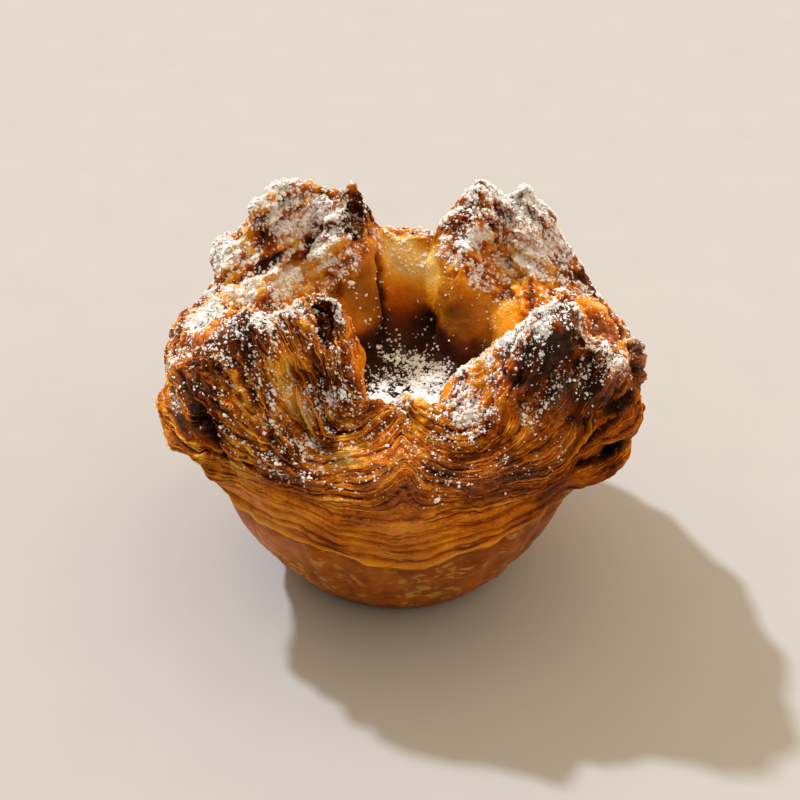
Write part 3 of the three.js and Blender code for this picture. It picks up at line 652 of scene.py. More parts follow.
PAINT = [
    # place, radius, browner, redder, glossier
    # the first three marks darken the gap behind the flap at the front left: partly browning, partly painted shade
    ((-35.5, -22.5, 55), 5.5, .26, .1, -.6), ((-33, -26, 52), 4.5, .26, .1, -.6), ((-34.5, -25.0, 46.5), 4.0, .16, .1, -.5), ((-36, -24, 41), 4, .02, -.1, -.4),
    ((-29.5, -29.0, 47), 4.0, -.14, -.15, 0), ((-27, -29.5, 52), 3.5, -.06, -.2, 0), ((-27, -30, 41), 5.5, -.20, -.2, .1),
    ((-25.6, -21.8, 66.7), 4.2, .22, .4, .1), ((-22.6, -24.0, 65), 3.4, .20, .6, .1), ((-31, -23.5, 61), 4.5, .16, .1, -.2), ((-18.4, -25.6, 60.6), 3.4, -.24, .1, .3),
    ((-17.2, -29.5, 52.5), 3.4, -.24, .3, .3), ((-21.5, -29, 52), 3.2, -.08, .1, .2), ((-14.5, -29, 54), 3, -.12, .4, .1),
    # the first two marks darken the hollow of the curl: painted shade, tinted red
    ((-12.3, -19.2, 65.6), 2.4, .22, 1.2, .2), ((-12.0, -22.4, 62.4), 1.8, .26, 1.0, .1), ((-14.9, -21.5, 66.6), 1.5, -.25, .1, .2),
    ((-8.2, -22.5, 59), 4.4, .16, .6, .1), ((-8.5, -24.5, 55), 2.4, -.06, .2, .2), ((-11, -26, 57), 3, .06, .2, 0), ((-9.0, -33.2, 47.6), 3.0, -.44, .4, .4), ((-16.2, -26.8, 53.1), 3.0, -.30, .6, .3), ((-13.3, -14.7, 67.9), 2.4, .10, .2, 0), ((19.9, -33.4, 39.5), 3.5, .05, 0, 0), ((-5, -30, 52.5), 3.5, -.04, .3, .2), ((-10.3, -33.4, 44.6), 2.4, .12, .2, .2),
    ((-20.5, -32.5, 45), 4.0, .16, .1, .3), ((-14, -34.6, 44), 4.0, .18, .1, .4),
    # front
    ((0, -31.5, 50.5), 6.0, .00, .8, .4), ((0, -34.8, 47.5), 5.0, -.12, .5, .4), ((1.5, -24.8, 54.2), 3.0, -.24, .3, .2),
    ((5.5, -32, 50), 4, -.16, .2, .2), ((-6, -31, 51), 3.5, -.12, .2, .2), ((0, -36.6, 43.5), 4.5, .10, .1, .5),
    ((0, -36.8, 39.5), 7, -.14, .15, .5), ((25, -29.5, 37), 7, .22, .1, 0), ((-38.5, -20.0, 44.5), 3.4, .34, .2, 0), ((27, -16, 16), 9, .10, .2, .2), ((-12, -36, 41.5), 5, -.10, .3, .4), ((12, -34.5, 44), 4, .16, .3, .4), ((18, -32.5, 44), 5, .16, .2, .2),
    # front right
    ((24, -27.2, 62.6), 5.4, .50, .8, .2), ((19, -28.5, 60), 4.0, .40, .8, .1), ((28, -26.8, 58.5), 4.0, .44, 1.3, .3), ((26, -24.8, 66.2), 3.8, .40, .8, .2), ((41, -18.5, 48.5), 4.5, .18, -.1, -.3), ((38, -23, 39), 3, .10, 0, -.2),
    ((22, -29.6, 56.4), 3.0, .34, .9, 0), ((32, -24.8, 58.5), 3.0, .22, .4, 0), ((31, -27.6, 54.5), 5.0, .36, .1, -.3),
    ((37, -22, 53.5), 4.0, .34, .2, -.3), ((35, -25, 48), 5.0, .06, -.1, -.4), ((39.5, -20, 44), 4.5, .14, .1, -.2),
    ((36, -24.4, 38.5), 3.8, .42, .1, -.3), ((34.7, -24, 40.8), 3.0, -.06, 0, 0), ((33, -20, 61), 2.6, .34, .9, .1), ((29, -28.5, 44), 5.0, .14, -.1, -.3), ((33, -26.6, 36.2), 3.0, -.02, -.1, 0), ((38, -22.5, 50.5), 4.0, .00, -.1, -.4),
    ((16.5, -30.5, 51), 4.0, .13, .5, .1), ((24, -31, 49), 4.0, .10, .2, 0), ((10.5, -27.5, 54), 3.0, -.06, .3, 0),
    ((15.4, -27.0, 58.5), 2.0, -.14, .5, .2), ((42.6, -14.2, 51), 3.2, .36, .2, -.2), ((41.5, -17.5, 49.5), 2.0, -.10, -.4, 0),
    ((36, -4, 53), 5.5, .34, .9, .4), ((38.6, -4.5, 52.5), 3.0, .12, .4, .2), ((10.2, 19.4, 62.9), 3, -.14, .2, 0), ((30, -9, 58), 4.0, .14, .7, .6),
    # left
    ((-42.5, -12.5, 42), 2.6, .06, .1, -.1), ((-41.0, -16.5, 38.4), 2.4, -.30, .0, .3), ((-37.5, -20.5, 36.5), 2.6, -.28, .0, .3),
    # on the lower wall and skin: paler on the left, where the light falls, and browner towards the right, in shade:
    # painted light and shade
    ((-28, -22, 18), 12, -.09, -.3, 0), ((-20, -31, 33), 8, -.07, -.1, .1), ((0, -37, 31), 6, -.07, 0, .2), ((14, -34, 33), 7, .07, .1, 0), ((27, -27, 31), 8, .12, .1, 0), ((12, -32, 20), 10, .05, .1, .1), ((-22, 17, 62), 7, -.06, .2, .1), ((22, 16, 61), 8, -.03, .1, 0), ((30, 14, 58), 5, -.10, .5, .2), ((-34, -6, 54), 5, -.02, .4, .2), ((-27, 3, 54), 6, -.07, .2, .2), ((-38, 0, 51), 5, .10, .3, 0),
    # back left
    # the marks at (-7, 13.5, 49.5), low on this lobe's inner face, and at (-9.6, 18.6, 64), in its notch, are painted
    # shade
    ((-20, 14.5, 58), 5.0, -.14, .3, .3), ((-25, 9, 56), 4.5, -.16, .4, .3), ((-11, 14, 55), 5, .06, -.1, .1), ((-7, 13.5, 49.5), 5, .24, -.8, .3), ((-15.5, 11, 53.5), 4, .12, -.3, 0), ((-9.5, 12, 54), 4.5, .12, -.7, .1), ((-12, 15, 57.5), 4, -.14, .1, 0), ((-19.3, 15.2, 53.6), 3.5, -.16, 0, 0), ((-6.2, 12.4, 51), 3, .04, -.5, 0),
    ((-15, 12, 51.5), 5, -.02, -.4, .1), ((-9.6, 18.6, 64), 2.6, .50, .3, 0), ((-20, 20.5, 68), 5, .02, .1, 0),
    ((-27, 15.5, 61.5), 3, .16, .2, 0), ((-34, 16, 58), 3, .14, .2, -.1), ((-15, 17, 63.5), 3, .14, .2, 0),
    # back right
    ((16, 20, 64), 4.0, .22, .3, -.2), ((12.5, 19.5, 63.5), 3.5, .12, .3, -.1), ((21.5, 14.5, 55.5), 4.5, -.15, -.5, .4),
    ((26, 13.5, 57), 4, -.12, -.1, .3), ((23, 19, 64), 4, .10, .3, -.1), ((14.6, 21.5, 69), 2.5, .18, .2, 0),
    # the pale mark on the back wall at (0, 23.5, 53) is painted light; the darker marks at (8, 14, 50) and (13, 9, 48),
    # low on this lobe's inner face, are painted shade
    ((29, 17, 61), 3.5, .04, .3, 0), ((8, 14, 50), 5, .09, -1.1, .5), ((13, 9, 48), 4.5, .25, -1.2, .4), ((9, 11, 46), 3.5, .10, -.6, .3), ((5.5, 20.5, 51.5), 3.8, -.36, -.9, .5), ((8.5, 16, 51), 2.6, -.20, -.9, .4), ((0, 23.5, 53.0), 4.8, -.60, -.6, .4), ((16, 8, 46), 4, .06, -.9, .6),
    # the first two marks darken the grooves either side of the back wall: painted shade
    ((-4.2, 17.5, 46), 2.4, .42, .6, 0), ((4.6, 15.6, 41.5), 2.4, .40, .6, 0), ((6.5, 17.5, 48.5), 2.6, -.22, -.8, .3), ((0, 20, 45), 3.5, .10, .4, .1), ((-3, 25, 55), 3, .04, .3, 0),
    # the far side, browned in the same way
    ((-31, 29, 54), 7, .24, .2, -.2), ((31, 28, 54), 7, .24, .2, -.2), ((-24, 33, 44), 6, .08, .1, .2), ((22, 34, 46), 6, .06, .0, .2),
    ((0, 36, 46), 6, -.12, .2, .3), ((-42, 10, 45), 6, .10, .1, 0), ((42, 12, 45), 6, .12, .1, 0), ((0, 37, 40), 7, -.10, 0, .3),
    ((-40, -4, 44), 5, -.04, .1, .2), ((42, -2, 46), 5, .04, .2, .2),
]
# long narrow stripes of paler or darker dough
STRIPES = [
    # from, to, radius, browner, redder
    # on the back left lobe the first stripe darkens a crease as painted shade; the paler ones after it follow the tops
    # of its folds, partly baked colour and partly painted highlight
    ((-26, 12.5, 56.8), (-17.6, 18, 58.5), 1.5, .20, .6), ((-34.5, 5.2, 53.1), (-27.2, 7.7, 55.2), 1.3, -.16, -.1), ((-27.2, 7.7, 55.2), (-21.4, 15.4, 54.2), 1.4, -.22, -.1),
    ((-21.4, 15.4, 54.2), (-15.9, 15.9, 56.6), 1.4, -.22, -.1), ((-15.9, 15.9, 56.6), (-9.9, 15.1, 60.8), 1.3, -.20, -.1),
    ((-27.0, 5.1, 54.6), (-22.7, 11.6, 53.2), .9, -.12, .2), ((-22.7, 11.6, 53.2), (-16.0, 14.2, 53.8), 1.0, -.14, .2),
    ((-42.8, -13.0, 43.4), (-38.4, -21.0, 42.0), .8, -.40, -.2), ((-38.4, -21.0, 42.0), (-33.6, -25.0, 40.2), .8, -.42, -.2),
    ((-33.6, -25.0, 40.2), (-29.4, -28.0, 36.0), .7, -.34, -.2),
    # the next four stripes darken the gap behind the flap at the front left: painted shade
    ((-37.0, -19.6, 54.6), (-32.4, -26.8, 52.6), .9, .22, .2), ((-32.4, -26.8, 52.6), (-28.2, -29.8, 46.5), .8, .18, .2),
    ((-35.6, -23.0, 52.6), (-32.3, -26.9, 49.0), 1.3, .34, .3), ((-32.3, -26.9, 49.0), (-29.6, -29.0, 44.6), 1.2, .30, .3),
    ((-36.6, -24.2, 55), (-33.2, -27.4, 51.4), .7, -.10, -.2), ((-33.2, -27.4, 51.4), (-30.2, -29.6, 45.6), .7, -.16, -.2),
    ((-20.5, -27.5, 58), (-19.0, -32.0, 47), .55, .26, .9), ((-23.6, -27, 58), (-23.2, -31.4, 46), .5, .22, .8),
    ((-16.4, -28.0, 57), (-14.0, -32.4, 49), .6, .22, 1.0), ((-26.5, -26, 58), (-26.8, -30.4, 45), .5, .22, .6),
    ((-18.2, -28, 57), (-17.2, -31.8, 49), .5, -.22, -.3), ((-22.2, -27.2, 57), (-21.6, -31.6, 47), .5, -.20, -.2),
    ((-25.0, -26.6, 57), (-25.2, -31, 45), .5, -.16, -.25), ((-28.6, -25, 57), (-28.4, -29.8, 44), .5, -.14, -.25),
    ((28.0, -29.0, 51.0), (40.5, -19.5, 48.6), .45, .16, 0), ((29.0, -28.8, 49.6), (42.0, -18.4, 47.6), .4, -.20, -.3), ((29.0, -28.8, 47.2), (42.4, -18.0, 45.6), .35, -.18, -.3), ((29.0, -28.8, 54.0), (41.0, -18.8, 52.6), .4, -.16, -.2), ((30, -28.2, 52.6), (41, -18.8, 51.4), .4, .14, 0),
    ((30.0, -28.6, 44.0), (42.0, -18.4, 43.6), .4, -.12, -.2),
]
for a_, b_, r, more, redder in STRIPES:
    g = capsule2(WJ, a_, b_, r, r, 1, 1)
    bake_and_shading = bake_and_shading + more * g
    red = red + redder * g
for at, r, more, redder, shine in PAINT:
    g = blob(WJ, at, r)
    bake_and_shading = bake_and_shading + more * g
    red = red + redder * g
    gloss = gloss + shine * g
# darker in the gaps between sheets and in the creases, partly caramel and partly painted shade; the free edges are made
# paler as painted highlight
gap_shade_and_caramel = np.clip(amp * (a0 * g0 + .8 * a1 * g1 + .5 * a2 * g2), 0, 1.4)
gap_shade_and_caramel = np.maximum(gap_shade_and_caramel, lap_gap * band * .5)
gap_shade_and_caramel = np.maximum(gap_shade_and_caramel, .45 * crusty * ease(.16, .03, lumps(5.6, 71)))
deep_crease_shade = np.clip(cut / 2.0, 0, 1) * (1 - .75 * blob(W, (-12.3, -20.2, 64.6), 3.4))
bake_and_shading = np.where(bake_and_shading > .64, .64 + (bake_and_shading - .64) * .74, bake_and_shading)
# the cut creases darker: painted shade
bake_and_shading = bake_and_shading + np.clip(cut, 0, 1.6) * .10
bake_and_shading = np.clip(bake_and_shading, 0, 1)
# how far the sheets stand out, used to make their edges paler: painted highlight
edge_lit = band * np.clip(amp * (.8 * s0 * a0 + .7 * s1 * a1 + .5 * s2 * a2) + .9 * lap * 0, -1, 1)

pole_n = {0: (0, 0, -1), 1: (0, 0, 1)}


def crust_piece(name, part, nor, pole, at_floor):
    n = part.shape[1]
    i = np.arange(NU)
    j = (i + 1) % NU
    quads = np.concatenate([np.stack([i * n + r, j * n + r, j * n + r + 1, i * n + r + 1], 1) for r in range(n - 1)])
    if at_floor:
        cap = np.stack([i * n + n - 1, j * n + n - 1, np.full(NU, NU * n)], 1)
    else:
        cap = np.stack([j * n, i * n, np.full(NU, NU * n)], 1)
    ob = make_mesh(name, np.vstack([part.reshape(-1, 3), [pole]]), quads, cap)
    full = np.vstack([nor.reshape(-1, 3), [pole_n[int(at_floor)]]])
    ob.data.normals_split_custom_set_from_vertices(full.tolist())
    return ob


crust = crust_piece("pastry_crust", S[:, :SPLIT + 1], N2[:, :SPLIT + 1], (0, 0, 0), False)
top_crust = crust_piece("pastry_top", S[:, SPLIT:], N2[:, SPLIT:], (0, 0, WELL_FLOOR_Z), True)

FAN = ease(60, 125, G)                      # 1 where the sheets are spread widest
FLOW = np.stack([CX * 4.0, SX * 4.0, C * 46.0], -1)

# ---------------------------------------------------------------------------
# Where the icing sugar lies
# ---------------------------------------------------------------------------
SUGAR = [
    # place, radius, weight
    ((22, -20.5, 69), 5.5, 3.4), ((18, -20.0, 65.5), 4.2, 3.4), ((14, -19.0, 61), 4.2, 3.3), ((10.5, -20.0, 56), 3.6, 2.6), ((29, -20, 67), 3.5, 1.4),
    ((33.6, -23.6, 60.9), 3.5, 4.0), ((37.5, -21, 57), 2.6, 1.0), ((14, -28, 54), 2.6, .8), ((19, -30, 51), 3.4, .6), ((13, -32, 49.5), 3, .6),
    ((8, -31.5, 51), 2.0, .8), ((-8.1, 14, 57), 2.8, 1.7), ((-13, 14.5, 57.5), 4, 1.4), ((-11.2, 15, 61), 3, 1.0), ((-23, 12.5, 54), 3.5, .9), ((-20, 20, 70), 6, 2.4), ((-24, 20, 69), 4, 1.6), ((-9, 21, 69), 3, 1.3), ((-34.5, 17, 60), 3, 3.0),
    ((-36, 10, 54.5), 5, .7), ((-33, 4, 54), 6, 1.2), ((-37.0, -2.5, 53.5), 3.8, 1.7), ((-27, 8, 56), 5, 1.0), ((-14, 16.5, 62.5), 3.4, 1.5),
    ((25, 20, 68.5), 4.0, 2.8), ((17, 19.5, 66), 5, 1.5), ((24, 17.5, 63), 5, 3.0), ((30, 16.5, 61), 3.8, 2.4), ((20, 15.0, 59), 5, 1.8), ((13.8, 15.4, 60.4), 3.4, 1.5), ((9, 18, 57), 3, .7), ((25.2, 15.3, 59.5), 3, 1.2), ((15, 13, 55), 3, .9), ((31, 12, 56), 3.5, .5),
    ((31, 10, 56), 4, .5), ((-12, -19, 69.5), 4, 1.6), ((-21, -20, 67.5), 5, 2.0), ((-29, -20, 65), 4, 1.5), ((-37.4, -12.0, 55.5), 2.2, 1.0),
    ((-38.6, -16.9, 47.6), 3.0, 4.0), ((-15, -28, 56), 4, 1.0), ((-11, -28, 55), 4, 1.3), ((-8, -27, 55.5), 3, 1.4), ((-14, -32, 49.5), 4, .7),
    # the well floor gets heavy sugar at the front and little at (0, 8, 37), so its back stays dark as painted shade
    ((-19, -32, 45.5), 3.5, .5), ((-22, -30, 50), 7, .25), ((-20, -27, 58), 6, .35), ((11.6, -26.7, 52.4), 2.4, 3.5), ((-19, 19, 62), 6, 1.3), ((-13.6, -21.8, 67), 1.6, 2.0), ((-9.6, -20, 67), 1.6, 2.0), ((1, -25, 54.5), 3.5, .8), ((-25, 12, 57.5), 7, .5), ((-18, 15, 61), 6, .6), ((2, -3, 37), 6.5, 6.4), ((6, 2, 37), 6, 6.0), ((-3, -7, 37), 6, 5.0), ((0, 8, 37), 6, .45),
    ((40, -15, 55), 3, .3), ((24, -28, 58), 4, .8),
]
up = np.clip(N2[..., 2], 0, 1)
fall = ease(.05, .75, up) * ease(.43, .54, VV)
fall = fall + .40 * ease(-.35, .45, N2[..., 2]) * ease(.47, .56, VV) * (1 - ease(.80, .86, VV))
STICK = [((22, 17, 63), 8, .95), ((27, 15, 60), 6, .7), ((-19, 19, 65), 8, .95), ((-25, 13, 59), 6, .55), ((20, -25, 63), 5, .8), ((12, -27, 54), 4, .45),
         ((-36, -12, 56), 4, .5), ((-22, -22, 66), 6, .5), ((-13, -20, 68), 3.5, .8), ((-9.5, -24, 57), 4, .35), ((-31, 4, 54), 8, .5), ((33.6, -23.6, 60.9), 3.5, 1.0), ((16, 16, 60), 7, .95), ((-33, -5, 54), 5, .4),
         ((-33, 17, 59), 4, .9), ((24, 26, 64), 8, .6), ((-20, 27, 64), 8, .6)]
hold = 0 * VV
for at, r, w in STICK:
    hold = np.maximum(hold, w * blob(W, at, r))
fall = np.maximum(fall, hold * ease(.50, .58, VV) * ease(-.5, .1, N2[..., 2]))
fall = np.maximum(fall, 1.1 * blob(W, (-38.6, -16.9, 47.6), 3.4) * ease(-.5, .2, N2[..., 2]))
patch = .20 + .14 * ease(.52, .60, VV)
for at, r, w in SUGAR:
    patch = patch + w * blob(W, at, r)
drift = ease(.36, .70, fbm(W / 3.6, 3, 91)) * (.45 + .85 * ease(.38, .62, noise(W / 1.5, 92)))
# little sugar on the inner walls; less on the back-left of the well floor, which is left dark as painted shade
bare_walls_and_floor_shade = ease(.78, .82, VV) * (1 - ease(.92, .95, VV) * (.25 + .75 * ease(2.8, -1.3, W[..., 1] - .75 * W[..., 0])))
dust = fall * patch * (.25 + 1.35 * drift) * (1 - .82 * bare_walls_and_floor_shade * (1 - .9 * crusty)) * (1 - .8 * np.clip(deep_crease_shade, 0, 1))
BARE = [((16, -30, 53), 3.4, .6), ((-8.5, -33, 47), 3.4, .5), ((-4, -33, 49), 3, .6), ((8, -33.5, 48), 3.4, .5), ((-17.5, -28.5, 54), 3.2, .4), ((34, -5.5, 54.5), 3.6, .9), ((-8, 13, 50), 5, .7), ((-24.8, 13.2, 57.2), 2.8, .85), ((-19, 17.4, 58.2), 2.6, .8), ((0, 27, 57), 5, .6), ((-21, -30.5, 51), 3.6, .4), ((-12.5, -33.5, 48), 2.6, .5), ((26, -25, 66.2), 3.6, .85), ((13, 9, 48), 4, .6), ((5, 17, 50), 4, .6), ((24.5, -28.0, 61), 4.6, .75), ((28.4, -25.4, 62.6), 2.4, .8), ((35.2, -17.6, 60.0), 2.4, .9), ((36.8, -16.5, 58.6), 2.2, .8), ((8.5, -26, 54), 2.6, .5), ((-7.4, -26.5, 54.5), 3.6, .8), ((-36.3, -17.4, 55.3), 2.8, .75), ((10, 17.4, 60), 2.4, .45), ((32.3, 13.7, 53.9), 4, .7), ((-13.3, -14.7, 67.9), 2.6, .65), ((-19.6, 17.4, 55.3), 2.6, .8), ((-22.5, 16.0, 57.4), 2.6, .7), ((-38.5, -10.6, 53), 2.6, .6), ((38.5, -1, 52), 4.2, .75), ((16, -22.8, 61.0), 2.2, .5), ((20, -30, 57), 3, .6), ((-15, -29, 53), 3, .3), ((-26, -29, 52), 4, .4), ((0, -31.5, 50), 6.5, .6), ((36, -5, 53), 5.5, .9), ((28, -27, 59), 3.6, .8), ((21, -29.5, 57), 3, .6), ((-1, -36, 46), 6, .35), ((-18.4, -26, 60), 2.6, .6),
        ((-34, -24, 50), 4, .6), ((16.4, -31, 50), 2.6, .6), ((36, -25, 47), 6, .75), ((-12, -21, 64), 2.0, .6), ((42, -16, 50), 4, .6)]
for at, r, less in BARE:
    dust = dust * (1 - less * blob(W, at, r))
dust = np.clip(dust, 0, 2.3 + 1.5 * ease(.90, .94, VV))

give_all("bake_and_shading", bake_and_shading, .5, .8)
give_all("red", np.clip(red, -1, 1), 0, 0)
give_all("gloss", np.clip(gloss, 0, 1), .3, .3)
give_all("gap_shade_and_caramel", np.clip(gap_shade_and_caramel, 0, 1), 0, 0)
give_all("edge", edge_lit, 0, 0)
give_all("deep_crease_shade", deep_crease_shade, 0, 0)
give_all("band", np.clip(amp, 0, 1), 0, 0)
give_all("crusty", np.clip(crusty + .25 * band, 0, 1), 0, 0)
give_all("skin", skin, 1, 0)
give_all("fan", FAN, 0, 0)
give_all("flow", FLOW, [0, 0, -20], [0, 0, 60])
give_all("dust", dust * (1 - .72 * np.clip(crisp * ease(74, 68, S[..., 2]) * ease(.70, .62, VV), 0, 1)), 0, 3.6)

# ---------------------------------------------------------------------------
# Thin sheets: the free edges of single dough layers
# ---------------------------------------------------------------------------
FLAKES = [
    # place, radius, how much further the sheets stand out
    ((-29, -29, 50), 8, .5), ((-24, -31, 44), 6, .45), ((-14, -33, 48), 7, .5), ((-20, -28, 56), 6, .4), ((38, -22, 46), 8, .8),
    ((32, -27, 50), 7, .45), ((0, -35, 46), 8, .45), ((-20, 16, 62), 6, .2), ((14, -34, 47), 6, .4),
    ((-40, -13, 42), 5, .5), ((41, -16, 38), 5, .4), ((-30, 28, 48), 9, .6), ((30, 28, 48), 9, .6), ((0, 36, 44), 8, .4),
]
SHEETS = 74


def strips():
    fine_n = 2 * NU
    idx = np.arange(fine_n) / 2.0
    a0_ = np.floor(idx).astype(int) % NU
    a1_ = (a0_ + 1) % NU
    w = (idx - np.floor(idx))[:, None]
    ca = CX[a0_, 0] * (1 - w[:, 0]) + CX[a1_, 0] * w[:, 0]
    sa = SX[a0_, 0] * (1 - w[:, 0]) + SX[a1_, 0] * w[:, 0]
    verts_, quads_, att = [], [], []
    base = 0
    cm = np.maximum.accumulate(C, 1) + VV * 1e-6
    for k in range(SHEETS):
        level = .312 + (.745 - .312) * (k + .5 + .7 * (float(hashed(np.array(k), np.array(3), np.array(5), 6)) - .5)) / SHEETS
        want = level + .006 * (noise(np.stack([CX[:, 0] * 4 + 9, SX[:, 0] * 4 + 9, np.full(NU, k * 5.7)], -1), 111) - .5)
        pos = np.zeros((NU, 3)); nor = np.zeros((NU, 3)); row = np.zeros(NU, int); am = np.zeros(NU)
        for c in range(NU):
            j = int(np.clip(np.searchsorted(cm[c], want[c]), 1, NV - 1))
            t0, t1 = cm[c, j - 1], cm[c, j]
            t = float(np.clip((want[c] - t0) / max(t1 - t0, 1e-9), 0, 1))
            pos[c] = S[c, j - 1] * (1 - t) + S[c, j] * t
            nor[c] = N1[c, j - 1] * (1 - t) + N1[c, j] * t
            row[c] = j
            am[c] = amp[c, j]
        P = pos[a0_] * (1 - w) + pos[a1_] * w
        N = nor[a0_] * (1 - w) + nor[a1_] * w
        N /= np.maximum(np.linalg.norm(N, axis=1, keepdims=True), 1e-9)
        T = np.roll(P, -1, 0) - np.roll(P, 1, 0)
        T /= np.maximum(np.linalg.norm(T, axis=1, keepdims=True), 1e-9)
        A = np.cross(N, T)                       # across the layers, upwards
        A /= np.maximum(np.linalg.norm(A, axis=1, keepdims=True), 1e-9)
        R = row[a0_]
        AM = am[a0_]
        gap_ = G[a0_, R] / SHEETS * .433
        out = 0.10 + 0 * AM
        for at, r, add in FLAKES:
            out = out + add * blob(P, at, r)
        q = np.stack([ca * 3.6 + 20, sa * 3.6 + 20, np.full(fine_n, k * 9.1)], -1)
        q2 = np.stack([ca * 15 + 20, sa * 15 + 20, np.full(fine_n, k * 5.3)], -1)
        q3 = np.stack([ca * 52 + 20, sa * 52 + 20, np.full(fine_n, k * 2.9)], -1)
        h = (noise(q, 101) - .50) * 3.0 + (noise(q2, 102) - .5) * 1.0
        h = np.clip(h, 0, 1) * (.30 + out) * np.clip(AM * 1.5, 0, 1) * ease(.25, .7, gap_)
        h = h + (noise(q3, 103) - .5) * .22 * (h > .1)
        h = h * (1 - .85 * deep_crease_shade[a0_, R])
        h = np.minimum(h, 1.1)
        keep = h > .07
        lift = (noise(q2 + 3.3, 104) - .5) * .8
        thick = .055 + .05 * noise(q2 + 8.8, 105)
        root = P - N * .4
        tip = P + N * h[:, None] + A * (lift * h)[:, None]
        ring = np.stack([root - A * thick[:, None], tip - A * (.6 * thick)[:, None],
                         tip + A * (.6 * thick)[:, None], root + A * thick[:, None]], 1)
        start = None
        runs = []
        for c in range(fine_n):
            if keep[c] and start is None:
                start = c
            if start is not None and (not keep[c] or c == fine_n - 1):
                if c - start >= 4:
                    runs.append((start, c))
                start = None
        for s, e in runs:
            m = e - s
            rr = ring[s:e].copy()
            rr[0] = root[s] + (rr[0] - root[s]) * .05
            rr[-1] = root[e - 1] + (rr[-1] - root[e - 1]) * .05
            verts_.append(rr.reshape(-1, 3))
            i = np.arange(m - 1)[:, None] * 4
            for x in range(4):
                y = (x + 1) % 4
                quads_.append(base + np.concatenate([i + x, i + 4 + x, i + 4 + y, i + y], 1))
            quads_.append(base + np.array([[0, 1, 2, 3]]))
            quads_.append(base + (m - 1) * 4 + np.array([[3, 2, 1, 0]]))
            cc, rw = a0_[s:e], R[s:e]
            vals = np.stack([bake_and_shading[cc, rw], red[cc, rw], gloss[cc, rw], dust[cc, rw]], 1)
            # the tips of the loose sheets are made paler and their roots darker: painted highlight and shade
            att.append(np.hstack([np.repeat(vals, 4, 0), np.tile(np.array([-.4, 1.1, 1.1, -.4]), m)[:, None], np.repeat(FLOW[cc, rw], 4, 0)]))
            base += m * 4
    return np.vstack(verts_), np.vstack(quads_), np.vstack(att)


sv, sq, sa_ = strips()
flakes = make_mesh("layer_edges", sv, sq)
n_ = len(sa_)
give(flakes.data, "bake_and_shading", np.clip(sa_[:, 0] - .05, 0, 1))
give(flakes.data, "red", np.clip(sa_[:, 1], -1, 1))
give(flakes.data, "gloss", np.clip(sa_[:, 2], 0, 1))
give(flakes.data, "gap_shade_and_caramel", np.zeros(n_))
give(flakes.data, "edge", sa_[:, 4])
give(flakes.data, "deep_crease_shade", np.zeros(n_))
give(flakes.data, "band", np.full(n_, .5))
give(flakes.data, "crusty", np.full(n_, .3))
give(flakes.data, "skin", np.zeros(n_))
give(flakes.data, "fan", np.full(n_, .5))
give(flakes.data, "flow", sa_[:, 5:8])
give(flakes.data, "dust", sa_[:, 3] * .5)

# ---------------------------------------------------------------------------
# Icing sugar, as separate grains and small clumps
# ---------------------------------------------------------------------------
rng = np.random.default_rng(41)


def ico():
    t = (1 + 5 ** .5) / 2
    v = np.array([(-1, t, 0), (1, t, 0), (-1, -t, 0), (1, -t, 0), (0, -1, t), (0, 1, t), (0, -1, -t), (0, 1, -t),
                  (t, 0, -1), (t, 0, 1), (-t, 0, -1), (-t, 0, 1)], float)
    v /= np.linalg.norm(v[0])
    f = np.array([(0, 11, 5), (0, 5, 1), (0, 1, 7), (0, 7, 10), (0, 10, 11), (1, 5, 9), (5, 11, 4), (11, 10, 2), (10, 7, 6),
                  (7, 1, 8), (3, 9, 4), (3, 4, 2), (3, 2, 6), (3, 6, 8), (3, 8, 9), (4, 9, 5), (2, 4, 11), (6, 2, 10),
                  (8, 6, 7), (9, 8, 1)])
    return v, f


def octa():
    v = np.array([(1, 0, 0), (-1, 0, 0), (0, 1, 0), (0, -1, 0), (0, 0, 1), (0, 0, -1)], float)
    f = np.array([(0, 2, 4), (2, 1, 4), (1, 3, 4), (3, 0, 4), (2, 0, 5), (1, 2, 5), (3, 1, 5), (0, 3, 5)])
    return v, f


